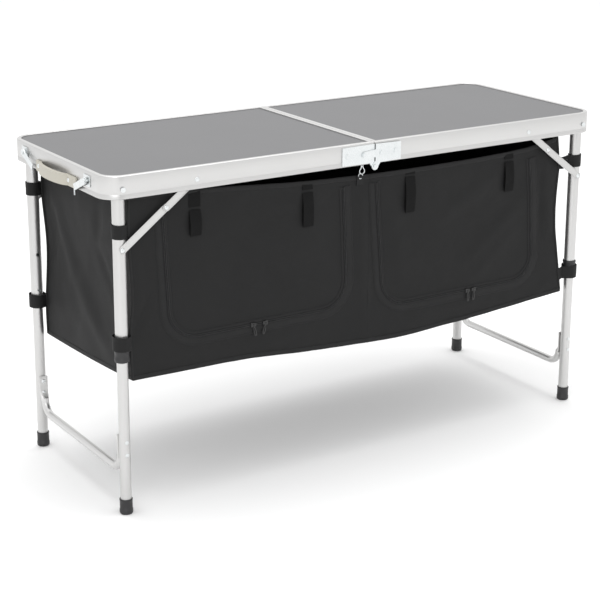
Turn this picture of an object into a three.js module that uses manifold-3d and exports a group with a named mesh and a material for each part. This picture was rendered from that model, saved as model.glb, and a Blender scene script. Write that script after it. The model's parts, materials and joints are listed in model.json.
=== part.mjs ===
// Folding camping table with a fabric organiser slung between its legs.
// Millimetres, +Z up, +X along the length, the front at -Y, the floor at Z 0.
// The origin is on the floor under the middle of the whole object. The top is two
// halves hinged at the seam, and each end has a pair of telescopic legs that fold
// inward under its half, with a two-link knee brace on each leg.
import * as THREE from 'three';
import { mergeVertices } from 'three/addons/utils/BufferGeometryUtils.js';
import Module from 'manifold-3d';

const wasm = await Module();
wasm.setup();

// ---------------------------------------------------------------- driving dimensions
const CLEARANCE = 0.4; // between pieces that touch
const OVERLAP = 0.2; // where two shapes of one piece run into each other
const SLIDING_FIT = 0.5; // between pieces that move past each other

const TABLE_LENGTH = 1200;
const TABLE_DEPTH = 440;
const TABLE_HEIGHT = 680;

const RIM_HEIGHT = 45;
const RIM_WALL = 1.6;
const RIM_LIP_WIDTH = 9;
const RIM_SHELF_WIDTH = 9;
const RIM_FOOT_WIDTH = 3.6;
const RIM_CORNER_RADIUS = 42;
const PANEL_THICKNESS = 5;
const SEAM_GAP = 0.8; // between the two halves

const LEG_INSET_X = 35; // leg axis in from the end of the top
const LEG_SIDE_INSET = 9.5; // outside of the leg in from the side of the top
const LEG_HEADROOM = 2.16; // over the leg's turning end, under the rim's shelf
const UPPER_TUBE_DIAMETER = 25;
const UPPER_TUBE_WALL = 1.2;
const LOWER_TUBE_WALL = 1.1;
const TUBE_GAP = 0.4; // round the lower tube in the upper one
const UPPER_TUBE_OVERRUN = 8; // above the pivot axis
const COLLAR_BOTTOM = 313; // above the floor
const COLLAR_HEIGHT = 25;
const COLLAR_WALL = 2.1;
const BUTTON_HEIGHT = 353; // above the floor
const BUTTON_HOLE_PITCH = 76;
const BUTTON_DIAMETER = 7;
const BUTTON_STAND_OUT = 2.2; // beyond the upper tube
const BUTTON_DEPTH = 6; // inside the upper tube's surface
const LOWER_TUBE_ABOVE_BUTTON = 26;
const FOOT_HEIGHT = 31;
const FOOT_WALL = 2;
const FOOT_FLOOR = 4;

const STRETCHER_DIAMETER = 16;
const STRETCHER_HEIGHT = 83; // bar axis above the floor
const STRETCHER_BEND_RADIUS = 30;
const STRETCHER_BRACKET_TOP = 165;
const STRETCHER_BRACKET_LENGTH = 56;
const STRETCHER_BRACKET_WIDTH = 20;
const STRETCHER_BRACKET_THICKNESS = 3;
const STRETCHER_RIVET_PITCH = 26;
const STRETCHER_TUBE_OVERLAP = 14; // of the tube up its bracket

const BRACE_RIM_RIVET_OFFSET = 156; // along the rim from the leg axis
const BRACE_LEG_RIVET_DROP = 118; // down the leg from the pivot axis
const BRACE_WIDTH = 15;
const BRACE_THICKNESS = 1.6;
const BRACE_GAP = 0.4; // between the links and to the leg
const RIVET_DIAMETER = 6;
const RIVET_HEAD_DIAMETER = 10;
const RIVET_HEAD_HEIGHT = 1.8;

const HINGE_PIVOT_BELOW_RIM = 5;
const HINGE_LEAF_THICKNESS = 1.6;
const HINGE_LEFT_REACH = 79;
const HINGE_RIGHT_REACH = 64;
const HINGE_LEAF_HEIGHT = 38;
const HINGE_EAR_RADIUS = 8;
const HINGE_PIN_DIAMETER = 5;
const HINGE_END_RIVET_MARGIN = 13; // from a leaf's end
const HINGE_STOP_RIVETS = [-26, 16]; // along the stop tongue, from the seam

const HANDLE_SPAN = 184; // between its two ends
const HANDLE_STAND_OUT = 17;
const HANDLE_STRAP_WIDTH = 22;
const HANDLE_STRAP_THICKNESS = 3.4;
const HANDLE_CENTRE_Y = -8;
const HANDLE_DROP = 34; // strap centre below the table surface
const HANDLE_PADS = { front: 44, rear: 24 }; // flat ends that are riveted down
const HANDLE_SHOULDER = 14; // along the strap, from a pad to the full bow
const HANDLE_OUTER_BOW = 1.26; // control distance of the outer curve, in stand-outs

const LATCH_SPACING = 288; // between the two latches
const LATCH_BASE_WIDTH = 26;
const LATCH_BASE_HEIGHT = 22;
const LATCH_BASE_THICKNESS = 1.4;
const LATCH_PIVOT_DROP = 19; // pivot below the table surface
const LATCH_PIN_DIAMETER = 4.8;
const LATCH_HEAD_DIAMETER = 10;
const LATCH_HEAD_HEIGHT = 1.2;
const LATCH_ARM_GAP = 3.4; // from the base to the arm, so that it passes over the handle
const LATCH_ARM_LENGTH = 52;
const LATCH_ARM_WIDTH = 13;
const LATCH_ARM_THICKNESS = 1.6;
const LATCH_ARM_SLANT = 25; // degrees below level at rest
const LATCH_FINGER_LENGTH = 15;
const LATCH_FINGER_WIDTH = 3.6;
const KEEPER_RISE = 14; // its stud, above the rim's bottom edge
const KEEPER_OFFSET = 10; // stud outside the line of the hook's pin
const KEEPER_STUD_LENGTH = 6;

const BAG_END_GAP = 9.5; // to the legs, along the length
const BAG_FRONT_PROUD = 4; // of the line through the leg axes
const BAG_DROP = 21; // top edge below the rim
const BAG_HEIGHT = 350;
const BAG_SHELF_RISE = 176; // the shelf above the bag's bottom
const BAG_CLOTH = 3;
const BAG_SEAM_GAP = 1; // from the seam to each compartment
const DOOR_END_MARGIN = { left: 72, right: 103 }; // from the bag's end to the door
const DOOR_SEAM_MARGIN = { left: 57, right: 27 }; // from the seam to the door
const DOOR_TOP_DROP = 22; // below the bag's top
const DOOR_BOTTOM_RISE = { left: 72, right: 52 }; // above the bag's bottom
const DOOR_CORNER_RADIUS = 60;
const DOOR_CLOTH = 2.4;
const ZIP_GAP = 1.2; // all round the door
const SLIDER_LENGTH = 34;
const SLIDER_WIDTH = 8;
const SLIDER_THICKNESS = 3;
const SLIDER_OFFSETS = { left: -2, right: 36 }; // from the door's middle

const CLIP_X = -24; // snap clip, along the length from the seam
const CLIP_INSET = 8; // in from the front of the top
const CLIP_WIRE = 2.4;
const CLIP_WIDTH = 12;
const CLIP_LENGTH = 20;

const ROUND_SEGMENTS = 20;
const SMALL_SEGMENTS = 12;

// ---------------------------------------------------------------- worked out from them
const HALF_LENGTH = TABLE_LENGTH / 2;
const HALF_DEPTH = TABLE_DEPTH / 2;
const SEAM_X = SEAM_GAP / 2;
const RIM_BOTTOM = TABLE_HEIGHT - RIM_HEIGHT;
const PANEL_TOP = TABLE_HEIGHT - RIM_WALL - CLEARANCE;
const PANEL_BOTTOM = PANEL_TOP - PANEL_THICKNESS;
const SHELF_TOP = PANEL_BOTTOM - CLEARANCE;
const SHELF_BOTTOM = SHELF_TOP - RIM_WALL;
const UPPER_RADIUS = UPPER_TUBE_DIAMETER / 2;
const LOWER_RADIUS = UPPER_RADIUS - UPPER_TUBE_WALL - TUBE_GAP;
const COLLAR_RADIUS = UPPER_RADIUS + CLEARANCE + COLLAR_WALL;
const PIVOT_Z = SHELF_BOTTOM - LEG_HEADROOM - Math.hypot(UPPER_RADIUS, UPPER_TUBE_OVERRUN);
const LEG_X = HALF_LENGTH - LEG_INSET_X;
const LEG_Y = HALF_DEPTH - LEG_SIDE_INSET - UPPER_RADIUS;
const UPPER_TUBE_TOP = PIVOT_Z + UPPER_TUBE_OVERRUN;
const UPPER_TUBE_BOTTOM = COLLAR_BOTTOM + 6;
const LOWER_TUBE_TOP = BUTTON_HEIGHT + LOWER_TUBE_ABOVE_BUTTON;
const LOWER_TUBE_BOTTOM = FOOT_FLOOR + CLEARANCE;
const HINGE_PIVOT_Z = RIM_BOTTOM - HINGE_PIVOT_BELOW_RIM;
const BAG_HALF_LENGTH = LEG_X - UPPER_RADIUS - BAG_END_GAP;
const BAG_HALF_DEPTH = LEG_Y + BAG_FRONT_PROUD;
const BAG_TOP = RIM_BOTTOM - BAG_DROP;
const BAG_BOTTOM = BAG_TOP - BAG_HEIGHT;
const BAG_SHELF_Z = BAG_BOTTOM + BAG_SHELF_RISE;
const BRACE_SPAN = Math.hypot(BRACE_RIM_RIVET_OFFSET, BRACE_LEG_RIVET_DROP);
const BRACE_DIFFERENCE = BRACE_RIM_RIVET_OFFSET - BRACE_LEG_RIVET_DROP;
const LOWER_LINK_LENGTH = (BRACE_SPAN + BRACE_DIFFERENCE) / 2; // so the links lie flat folded
const LOWER_LINK_Y = LEG_Y + UPPER_RADIUS + BRACE_GAP;
const UPPER_LINK_Y = LOWER_LINK_Y + BRACE_THICKNESS + BRACE_GAP;
const LATCH_PIVOT_Z = TABLE_HEIGHT - LATCH_PIVOT_DROP;
const LATCH_ARM_INNER = CLEARANCE + LATCH_BASE_THICKNESS + LATCH_ARM_GAP;
const LATCH_ARM_OUTER = LATCH_ARM_INNER + LATCH_ARM_THICKNESS;
const LATCH_FRONT_REACH = LATCH_ARM_OUTER + CLEARANCE + LATCH_HEAD_HEIGHT;
const END_REACH = Math.max(HANDLE_STAND_OUT, LATCH_FRONT_REACH);
const RIGHT_REACH = LATCH_BASE_THICKNESS + CLEARANCE;

// ---------------------------------------------------------------- materials
const material = (color, roughness, metalness) =>
  new THREE.MeshStandardMaterial({ color, roughness, metalness });
const ALUMINIUM = () => material(0xd7d8da, 0.38, 0.9);
const ZINC = () => material(0xcfd6da, 0.35, 0.9);
const LAMINATE = () => material(0x9b9b9e, 0.55, 0);
const BLACK_PLASTIC = () => material(0x1b1b1c, 0.5, 0);
const BEIGE_PLASTIC = () => material(0xa9a49b, 0.5, 0);
const FABRIC = () => material(0x2e2e30, 0.9, 0);

// ---------------------------------------------------------------- solids
// A THREE geometry as a manifold solid, placed by a matrix.
function solid(geometry, matrix = new THREE.Matrix4()) {
  const bare = geometry.clone().applyMatrix4(matrix);
  bare.deleteAttribute('normal');
  bare.deleteAttribute('uv');
  const merged = mergeVertices(bare, 1e-4);
  return new wasm.Manifold(new wasm.Mesh({
    numProp: 3,
    vertProperties: new Float32Array(merged.attributes.position.array),
    triVerts: new Uint32Array(merged.index.array),
  }));
}

function geometryOf(shape) {
  const mesh = shape.getMesh();
  const geometry = new THREE.BufferGeometry();
  geometry.setAttribute('position', new THREE.BufferAttribute(new Float32Array(mesh.vertProperties), 3));
  geometry.setIndex(new THREE.BufferAttribute(new Uint32Array(mesh.triVerts), 1));
  const faceted = geometry.toNonIndexed();
  faceted.computeVertexNormals();
  return faceted;
}

const union = (...shapes) => shapes.reduce((all, next) => all.add(next));
const cut = (body, ...tools) => tools.reduce((left, tool) => left.subtract(tool), body);
const at = (x, y, z) => new THREE.Matrix4().makeTranslation(x, y, z);

function box(x0, x1, y0, y1, z0, z1) {
  const geometry = new THREE.BoxGeometry(x1 - x0, y1 - y0, z1 - z0);
  return solid(geometry, at((x0 + x1) / 2, (y0 + y1) / 2, (z0 + z1) / 2));
}

function cylinderZ(radius, x, y, z0, z1, segments = ROUND_SEGMENTS) {
  const geometry = new THREE.CylinderGeometry(radius, radius, z1 - z0, segments);
  const turn = new THREE.Matrix4().makeRotationX(Math.PI / 2);
  return solid(geometry, at(x, y, (z0 + z1) / 2).multiply(turn));
}

function cylinderY(radius, x, z, y0, y1, segments = SMALL_SEGMENTS) {
  const low = Math.min(y0, y1);
  const high = Math.max(y0, y1);
  return solid(new THREE.CylinderGeometry(radius, radius, high - low, segments), at(x, (low + high) / 2, z));
}

// A plan outline raised between two heights.
function raised(shape, z0, z1, curveSegments = 6) {
  const geometry = new THREE.ExtrudeGeometry(shape, { depth: z1 - z0, bevelEnabled: false, curveSegments });
  return solid(geometry, at(0, 0, z0));
}

// A plate whose outline is drawn in X and Z, thickened from y0 to y1.
function plate(shape, y0, y1, curveSegments = 6) {
  const low = Math.min(y0, y1);
  const depth = Math.abs(y1 - y0);
  const geometry = new THREE.ExtrudeGeometry(shape, { depth, bevelEnabled: false, curveSegments });
  const turn = new THREE.Matrix4().makeRotationX(Math.PI / 2);
  return solid(geometry, at(0, low + depth, 0).multiply(turn));
}

function circleShape(radius, segments) {
  const points = Array.from({ length: segments }, (_, i) => {
    const angle = (2 * Math.PI * i) / segments;
    return new THREE.Vector2(radius * Math.cos(angle), radius * Math.sin(angle));
  });
  return new THREE.Shape(points);
}

// A round bar or tube along a curve.
function barAlong(curve, radius, steps, segments = 12) {
  const settings = { extrudePath: curve, steps, bevelEnabled: false };
  return solid(new THREE.ExtrudeGeometry(circleShape(radius, segments), settings));
}

const table = new THREE.Group();
table.position.x = (END_REACH - RIGHT_REACH) / 2;

function add(name, shape, paint) {
  const mesh = new THREE.Mesh(geometryOf(shape), paint());
  mesh.name = name;
  table.add(mesh);
}

const ENDS = [{ end: 'left', side: -1 }, { end: 'right', side: 1 }];
const CORNERS = ENDS.flatMap(({ end, side }) => [
  { end, side, row: 'front', face: -1 },
  { end, side, row: 'rear', face: 1 },
]);

// ---------------------------------------------------------------- top: rims and panels
// Half of the top in plan, from the seam to its rounded end, drawn in by an inset.
function halfPlan(side, inset, seamX) {
  const radius = RIM_CORNER_RADIUS - inset;
  const far = HALF_LENGTH - inset;
  const wide = HALF_DEPTH - inset;
  const shape = new THREE.Shape();
  shape.moveTo(side * seamX, -wide);
  shape.lineTo(side * (far - radius), -wide);
  shape.quadraticCurveTo(side * (far - radius * 0.22), -wide + radius * 0.22, side * far, -wide + radius);
  shape.lineTo(side * far, wide - radius);
  shape.quadraticCurveTo(side * (far - radius * 0.22), wide - radius * 0.22, side * (far - radius), wide);
  shape.lineTo(side * seamX, wide);
  shape.closePath();
  return shape;
}

// The stretch of rim section between two insets and two heights, open at the seam.
function rimBand(side, width, z0, z1) {
  const outer = raised(halfPlan(side, 0, SEAM_X), z0, z1);
  return cut(outer, raised(halfPlan(side, width, SEAM_X - 1), z0 - 1, z1 + 1));
}

for (const { end, side } of ENDS) {
  const wall = rimBand(side, RIM_WALL, RIM_BOTTOM, TABLE_HEIGHT);
  const lip = rimBand(side, RIM_LIP_WIDTH, TABLE_HEIGHT - RIM_WALL, TABLE_HEIGHT);
  const shelf = rimBand(side, RIM_SHELF_WIDTH, SHELF_BOTTOM, SHELF_TOP);
  const foot = rimBand(side, RIM_FOOT_WIDTH, RIM_BOTTOM, RIM_BOTTOM + RIM_WALL);
  const rivetHoles = [LEG_X, LEG_X - BRACE_RIM_RIVET_OFFSET].map((x) => cylinderY(
    RIVET_DIAMETER / 2 + CLEARANCE, side * x, PIVOT_Z, -HALF_DEPTH - 1, HALF_DEPTH + 1,
  ));
  add(`${end}_rim`, cut(union(wall, lip, shelf, foot), ...rivetHoles), ALUMINIUM);

  const panelEdge = SEAM_X + RIM_WALL + CLEARANCE;
  const panel = raised(halfPlan(side, RIM_WALL + CLEARANCE, panelEdge), PANEL_BOTTOM, PANEL_TOP);
  add(`${end}_panel`, panel, LAMINATE);

  // The seam edge is a channel that wraps the panel's straight edge between the rim's two arms.
  const seamReach = HALF_DEPTH - RIM_LIP_WIDTH - CLEARANCE;
  const seamWallReach = HALF_DEPTH - RIM_WALL - CLEARANCE;
  const innerX = SEAM_X + RIM_LIP_WIDTH;
  const ordered = (a, b) => (side < 0 ? [-b, -a] : [a, b]);
  const [wallLow, wallHigh] = ordered(SEAM_X, SEAM_X + RIM_WALL);
  const [lipLow, lipHigh] = ordered(SEAM_X, innerX);
  const shelfReach = HALF_DEPTH - RIM_SHELF_WIDTH - CLEARANCE;
  const seamEdge = union(
    box(wallLow, wallHigh, -seamReach, seamReach, SHELF_BOTTOM, TABLE_HEIGHT),
    box(lipLow, lipHigh, -seamReach, seamReach, TABLE_HEIGHT - RIM_WALL, TABLE_HEIGHT),
    box(lipLow, lipHigh, -shelfReach, shelfReach, SHELF_BOTTOM, SHELF_TOP),
    box(wallLow, wallHigh, -seamWallReach, seamWallReach, SHELF_TOP + CLEARANCE, PANEL_TOP),
  );
  add(`${end}_seam_edge`, seamEdge, ALUMINIUM);
}

// ---------------------------------------------------------------- centre hinges
// Each hinge is a left and a right leaf riveted on the rim walls, with an ear below the
// rim on each leaf and one pin through both ears.
function leafOutline(side, reach) {
  const top = RIM_BOTTOM + 3 + HINGE_LEAF_HEIGHT;
  const bottom = RIM_BOTTOM + 2;
  const shape = new THREE.Shape();
  shape.moveTo(side * (SEAM_X + CLEARANCE), top);
  shape.lineTo(side * reach, top - 1);
  shape.lineTo(side * reach, bottom + 1);
  shape.lineTo(side * (HINGE_EAR_RADIUS + 5), bottom);
  shape.lineTo(side * HINGE_EAR_RADIUS, HINGE_PIVOT_Z);
  const [first, last] = side < 0 ? [Math.PI, 2 * Math.PI] : [0, -Math.PI];
  shape.absarc(0, HINGE_PIVOT_Z, HINGE_EAR_RADIUS, first, last, side > 0);
  shape.lineTo(-side * HINGE_EAR_RADIUS, HINGE_PIVOT_Z);
  shape.lineTo(side * (SEAM_X + CLEARANCE), HINGE_PIVOT_Z + HINGE_EAR_RADIUS + 3);
  shape.closePath();
  return shape;
}

function rivetHeads(places, y, face) {
  return places.map(([x, z]) => cylinderY(
    RIVET_HEAD_DIAMETER / 2, x, z, face * y, face * (y + RIVET_HEAD_HEIGHT),
  ));
}

for (const { row, face } of CORNERS.slice(0, 2)) {
  const rivetZ = RIM_BOTTOM + RIM_HEIGHT / 2;
  const leftInner = HALF_DEPTH + CLEARANCE;
  const rightInner = leftInner + HINGE_LEAF_THICKNESS + CLEARANCE;
  const pinHole = cylinderY(
    HINGE_PIN_DIAMETER / 2 + CLEARANCE, 0, HINGE_PIVOT_Z, face * (leftInner - 2), face * (rightInner + 9),
  );
  const leftPlate = plate(
    leafOutline(-1, HINGE_LEFT_REACH), face * leftInner, face * (leftInner + HINGE_LEAF_THICKNESS),
  );
  const leftRivetX = HINGE_END_RIVET_MARGIN - HINGE_LEFT_REACH;
  const leftHeads = rivetHeads([[leftRivetX, rivetZ - 1]], leftInner + HINGE_LEAF_THICKNESS - OVERLAP, face);
  add(`${row}_hinge_left_leaf`, cut(union(leftPlate, ...leftHeads), pinHole), ZINC);

  // The right leaf stands off the rim by the left leaf's thickness and reaches across the
  // seam with a stop tongue that rests over the left leaf.
  const tongue = new THREE.Shape();
  const [tongueTip, tongueRoot] = HINGE_STOP_RIVETS;
  tongue.moveTo(tongueRoot + 4, rivetZ + 9);
  tongue.lineTo(tongueTip + 2, rivetZ + 5);
  tongue.absarc(tongueTip, rivetZ - 1.5, 6.5, Math.PI / 2, Math.PI * 1.5, false);
  tongue.lineTo(-HINGE_EAR_RADIUS - 1, rivetZ - 9);
  tongue.lineTo(tongueRoot + 4, rivetZ - 9);
  tongue.closePath();
  const rightPlate = plate(
    leafOutline(1, HINGE_RIGHT_REACH), face * rightInner, face * (rightInner + HINGE_LEAF_THICKNESS),
  );
  const tonguePlate = plate(tongue, face * rightInner, face * (rightInner + HINGE_LEAF_THICKNESS));
  const endRivetX = HINGE_RIGHT_REACH - HINGE_END_RIVET_MARGIN;
  const spacer = cylinderY(
    RIVET_HEAD_DIAMETER / 2, endRivetX, rivetZ, face * leftInner, face * (rightInner + OVERLAP),
  );
  const stopRivets = HINGE_STOP_RIVETS.map((x) => [x, rivetZ - 1.5]);
  const rightHeads = rivetHeads(
    [...stopRivets, [endRivetX, rivetZ]], rightInner + HINGE_LEAF_THICKNESS - OVERLAP, face,
  );
  const rightLeaf = union(rightPlate, tonguePlate, spacer, ...rightHeads);
  add(`${row}_hinge_right_leaf`, cut(rightLeaf, pinHole), ZINC);

  const pinOuter = rightInner + HINGE_LEAF_THICKNESS + CLEARANCE;
  const pin = union(
    cylinderY(HINGE_PIN_DIAMETER / 2, 0, HINGE_PIVOT_Z, face * (leftInner - 1.5), face * (pinOuter + 1)),
    cylinderY(
      RIVET_HEAD_DIAMETER / 2 - 1, 0, HINGE_PIVOT_Z,
      face * pinOuter, face * (pinOuter + RIVET_HEAD_HEIGHT),
    ),
    cylinderY(
      RIVET_HEAD_DIAMETER / 2 - 1, 0, HINGE_PIVOT_Z,
      face * (leftInner - CLEARANCE - RIVET_HEAD_HEIGHT), face * (leftInner - CLEARANCE),
    ),
  );
  add(`${row}_hinge_pin`, pin, ZINC);
}

// ---------------------------------------------------------------- legs
for (const { end, side, row, face } of CORNERS) {
  const name = `${row}_${end}`;
  const x = side * LEG_X;
  const y = face * LEG_Y;
  const pivotHoles = cylinderY(
    RIVET_DIAMETER / 2 + CLEARANCE, x, PIVOT_Z, y - UPPER_RADIUS - 2, y + UPPER_RADIUS + 2,
  );
  const legRivetZ = PIVOT_Z - BRACE_LEG_RIVET_DROP;
  const braceHole = cylinderY(
    RIVET_DIAMETER / 2 + CLEARANCE, x, legRivetZ, y, y + face * (UPPER_RADIUS + 2),
  );
  const buttonHoles = [0, BUTTON_HOLE_PITCH].map((rise) => cylinderY(
    BUTTON_DIAMETER / 2 + CLEARANCE, x, BUTTON_HEIGHT + rise, y, y - face * (UPPER_RADIUS + 2),
  ));
  const upper = cut(
    cylinderZ(UPPER_RADIUS, x, y, UPPER_TUBE_BOTTOM, UPPER_TUBE_TOP),
    cylinderZ(UPPER_RADIUS - UPPER_TUBE_WALL, x, y, UPPER_TUBE_BOTTOM - 1, UPPER_TUBE_TOP + 1),
    pivotHoles, braceHole, ...buttonHoles,
  );
  add(`${name}_upper_leg`, upper, ALUMINIUM);

  const collar = cut(
    cylinderZ(COLLAR_RADIUS, x, y, COLLAR_BOTTOM, COLLAR_BOTTOM + COLLAR_HEIGHT),
    cylinderZ(LOWER_RADIUS + SLIDING_FIT, x, y, COLLAR_BOTTOM - 1, COLLAR_BOTTOM + COLLAR_HEIGHT + 1),
    cylinderZ(
      UPPER_RADIUS + CLEARANCE, x, y, UPPER_TUBE_BOTTOM - CLEARANCE, COLLAR_BOTTOM + COLLAR_HEIGHT + 1,
    ),
  );
  add(`${name}_collar`, collar, BLACK_PLASTIC);

  const lower = cut(
    cylinderZ(LOWER_RADIUS, x, y, LOWER_TUBE_BOTTOM, LOWER_TUBE_TOP),
    cylinderZ(LOWER_RADIUS - LOWER_TUBE_WALL, x, y, LOWER_TUBE_BOTTOM - 1, LOWER_TUBE_TOP + 1),
    buttonHoles[0],
  );
  add(`${name}_lower_leg`, lower, ALUMINIUM);

  const footRadius = LOWER_RADIUS + CLEARANCE + FOOT_WALL;
  const foot = cut(
    cylinderZ(footRadius, x, y, 0, FOOT_HEIGHT),
    cylinderZ(LOWER_RADIUS + CLEARANCE, x, y, FOOT_FLOOR, FOOT_HEIGHT + 1),
  );
  add(`${name}_foot_cap`, foot, BLACK_PLASTIC);

  const inward = (distance) => y - face * distance;
  const button = cylinderY(
    BUTTON_DIAMETER / 2, x, BUTTON_HEIGHT,
    inward(UPPER_RADIUS - BUTTON_DEPTH), inward(UPPER_RADIUS + BUTTON_STAND_OUT),
  );
  add(`${name}_snap_button`, button, ZINC);

  // The pivot rivet goes in through the rim wall, with its second head inside the leg line.
  const outerHead = [face * (HALF_DEPTH + CLEARANCE), face * (HALF_DEPTH + CLEARANCE + RIVET_HEAD_HEIGHT)];
  const innerHead = [inward(UPPER_RADIUS + CLEARANCE), inward(UPPER_RADIUS + CLEARANCE + RIVET_HEAD_HEIGHT)];
  const rivet = union(
    cylinderY(RIVET_DIAMETER / 2, x, PIVOT_Z, outerHead[1], innerHead[1]),
    cylinderY(RIVET_HEAD_DIAMETER / 2, x, PIVOT_Z, outerHead[0], outerHead[1]),
    cylinderY(RIVET_HEAD_DIAMETER / 2, x, PIVOT_Z, innerHead[0], innerHead[1]),
  );
  add(`${name}_leg_pivot_rivet`, rivet, ZINC);
}

// ---------------------------------------------------------------- stretchers
// One bent tube joins the two lower legs of an end, with a flat bracket at each end
// riveted twice to the inner side of its leg.
for (const { end, side } of ENDS) {
  const x = side * LEG_X;
  const bracketOuter = LEG_Y - LOWER_RADIUS - CLEARANCE;
  const bracketInner = bracketOuter - STRETCHER_BRACKET_THICKNESS;
  const barY = bracketOuter - STRETCHER_DIAMETER / 2;
  const bend = STRETCHER_BEND_RADIUS;
  const start = STRETCHER_BRACKET_TOP - STRETCHER_BRACKET_LENGTH + STRETCHER_TUBE_OVERLAP;
  const curve = new THREE.CurvePath();
  const corner = (from, control, to) => new THREE.QuadraticBezierCurve3(
    new THREE.Vector3(x, ...from), new THREE.Vector3(x, ...control), new THREE.Vector3(x, ...to),
  );
  const line = (from, to) => new THREE.LineCurve3(new THREE.Vector3(x, ...from), new THREE.Vector3(x, ...to));
  const low = STRETCHER_HEIGHT;
  curve.add(line([-barY, start], [-barY, low + bend]));
  curve.add(corner([-barY, low + bend], [-barY, low], [-barY + bend, low]));
  curve.add(line([-barY + bend, low], [barY - bend, low]));
  curve.add(corner([barY - bend, low], [barY, low], [barY, low + bend]));
  curve.add(line([barY, low + bend], [barY, start]));
  const tube = barAlong(curve, STRETCHER_DIAMETER / 2, 30, 10);
  const brackets = [-1, 1].flatMap((face) => {
    const y = [face * bracketOuter, face * bracketInner].sort((a, b) => a - b);
    const half = STRETCHER_BRACKET_WIDTH / 2;
    const flat = box(
      x - half, x + half, y[0], y[1],
      STRETCHER_BRACKET_TOP - STRETCHER_BRACKET_LENGTH, STRETCHER_BRACKET_TOP,
    );
    const rivetTop = STRETCHER_BRACKET_TOP - 15;
    const heads = [rivetTop, rivetTop - STRETCHER_RIVET_PITCH].map((z) => cylinderY(
      RIVET_HEAD_DIAMETER / 2, x, z, face * (bracketInner + OVERLAP), face * (bracketInner - RIVET_HEAD_HEIGHT),
    ));
    return [flat, ...heads];
  });
  add(`${end}_stretcher`, union(tube, ...brackets), ALUMINIUM);
}

// ---------------------------------------------------------------- knee braces
// The upper link turns on a rivet in the rim wall and the lower link on a rivet in the
// leg. They lie side by side, and the lower link carries the knee rivet's head.
function linkOutline(from, to, width) {
  const angle = Math.atan2(to.y - from.y, to.x - from.x);
  const radius = width / 2;
  const shape = new THREE.Shape();
  shape.absarc(to.x, to.y, radius, angle - Math.PI / 2, angle + Math.PI / 2, false);
  shape.absarc(from.x, from.y, radius, angle + Math.PI / 2, angle + Math.PI * 1.5, false);
  shape.closePath();
  return shape;
}

for (const { end, side, row, face } of CORNERS) {
  const rimRivet = new THREE.Vector2(side * (LEG_X - BRACE_RIM_RIVET_OFFSET), PIVOT_Z);
  const legRivet = new THREE.Vector2(side * LEG_X, PIVOT_Z - BRACE_LEG_RIVET_DROP);
  const knee = legRivet.clone().lerp(rimRivet, LOWER_LINK_LENGTH / BRACE_SPAN);
  const shank = RIVET_DIAMETER / 2;
  const upper = union(
    plate(
      linkOutline(rimRivet, knee, BRACE_WIDTH),
      face * UPPER_LINK_Y, face * (UPPER_LINK_Y + BRACE_THICKNESS),
    ),
    cylinderY(shank, rimRivet.x, rimRivet.y, face * (UPPER_LINK_Y + OVERLAP), face * (HALF_DEPTH + 2)),
    cylinderY(
      RIVET_HEAD_DIAMETER / 2, rimRivet.x, rimRivet.y,
      face * (HALF_DEPTH + CLEARANCE), face * (HALF_DEPTH + CLEARANCE + RIVET_HEAD_HEIGHT),
    ),
  );
  add(`${row}_${end}_brace_upper_link`, upper, ALUMINIUM);

  const lower = union(
    plate(
      linkOutline(legRivet, knee, BRACE_WIDTH),
      face * LOWER_LINK_Y, face * (LOWER_LINK_Y + BRACE_THICKNESS),
    ),
    cylinderY(
      shank, legRivet.x, legRivet.y,
      face * (LEG_Y + LOWER_RADIUS + TUBE_GAP), face * (LOWER_LINK_Y + BRACE_THICKNESS + OVERLAP),
    ),
    cylinderY(
      RIVET_HEAD_DIAMETER / 2, legRivet.x, legRivet.y,
      face * (LOWER_LINK_Y + BRACE_THICKNESS - OVERLAP),
      face * (LOWER_LINK_Y + BRACE_THICKNESS + RIVET_HEAD_HEIGHT),
    ),
  );
  add(`${row}_${end}_brace_lower_link`, lower, ALUMINIUM);
}

// ---------------------------------------------------------------- left end: handle and latches
{
  const endX = -HALF_LENGTH - CLEARANCE;
  const z0 = TABLE_HEIGHT - HANDLE_DROP - HANDLE_STRAP_WIDTH / 2;
  const z1 = z0 + HANDLE_STRAP_WIDTH;
  const front = -HANDLE_SPAN / 2;
  const rear = HANDLE_SPAN / 2;
  const bowFront = front + HANDLE_PADS.front;
  const bowRear = rear - HANDLE_PADS.rear;
  const bow = HANDLE_STAND_OUT - CLEARANCE;
  const thick = HANDLE_STRAP_THICKNESS;
  const innerX = endX - bow + thick;
  const outerX = endX - bow * HANDLE_OUTER_BOW;
  const shoulder = HANDLE_SHOULDER;
  const ease = thick * 2; // the outer curve starts this much nearer the strap's end
  const shape = new THREE.Shape();
  shape.moveTo(endX, front);
  shape.lineTo(endX, bowFront);
  shape.bezierCurveTo(innerX, bowFront + shoulder, innerX, bowRear - shoulder, endX, bowRear);
  shape.lineTo(endX, rear);
  shape.lineTo(endX - thick, rear);
  shape.lineTo(endX - thick, bowRear + ease);
  shape.bezierCurveTo(
    outerX, bowRear - shoulder + ease, outerX, bowFront + shoulder - ease, endX - thick, bowFront - ease,
  );
  shape.lineTo(endX - thick, front);
  shape.closePath();
  const strap = raised(shape, z0, z1, 16).translate([0, HANDLE_CENTRE_Y, 0]);
  add('carry_handle', strap, BEIGE_PLASTIC);
}

function cylinderX(radius, y, z, x0, x1, segments = SMALL_SEGMENTS) {
  const turn = new THREE.Matrix4().makeRotationZ(Math.PI / 2);
  const geometry = new THREE.CylinderGeometry(radius, radius, Math.abs(x1 - x0), segments);
  return solid(geometry, at((x0 + x1) / 2, y, z).multiply(turn));
}

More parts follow.
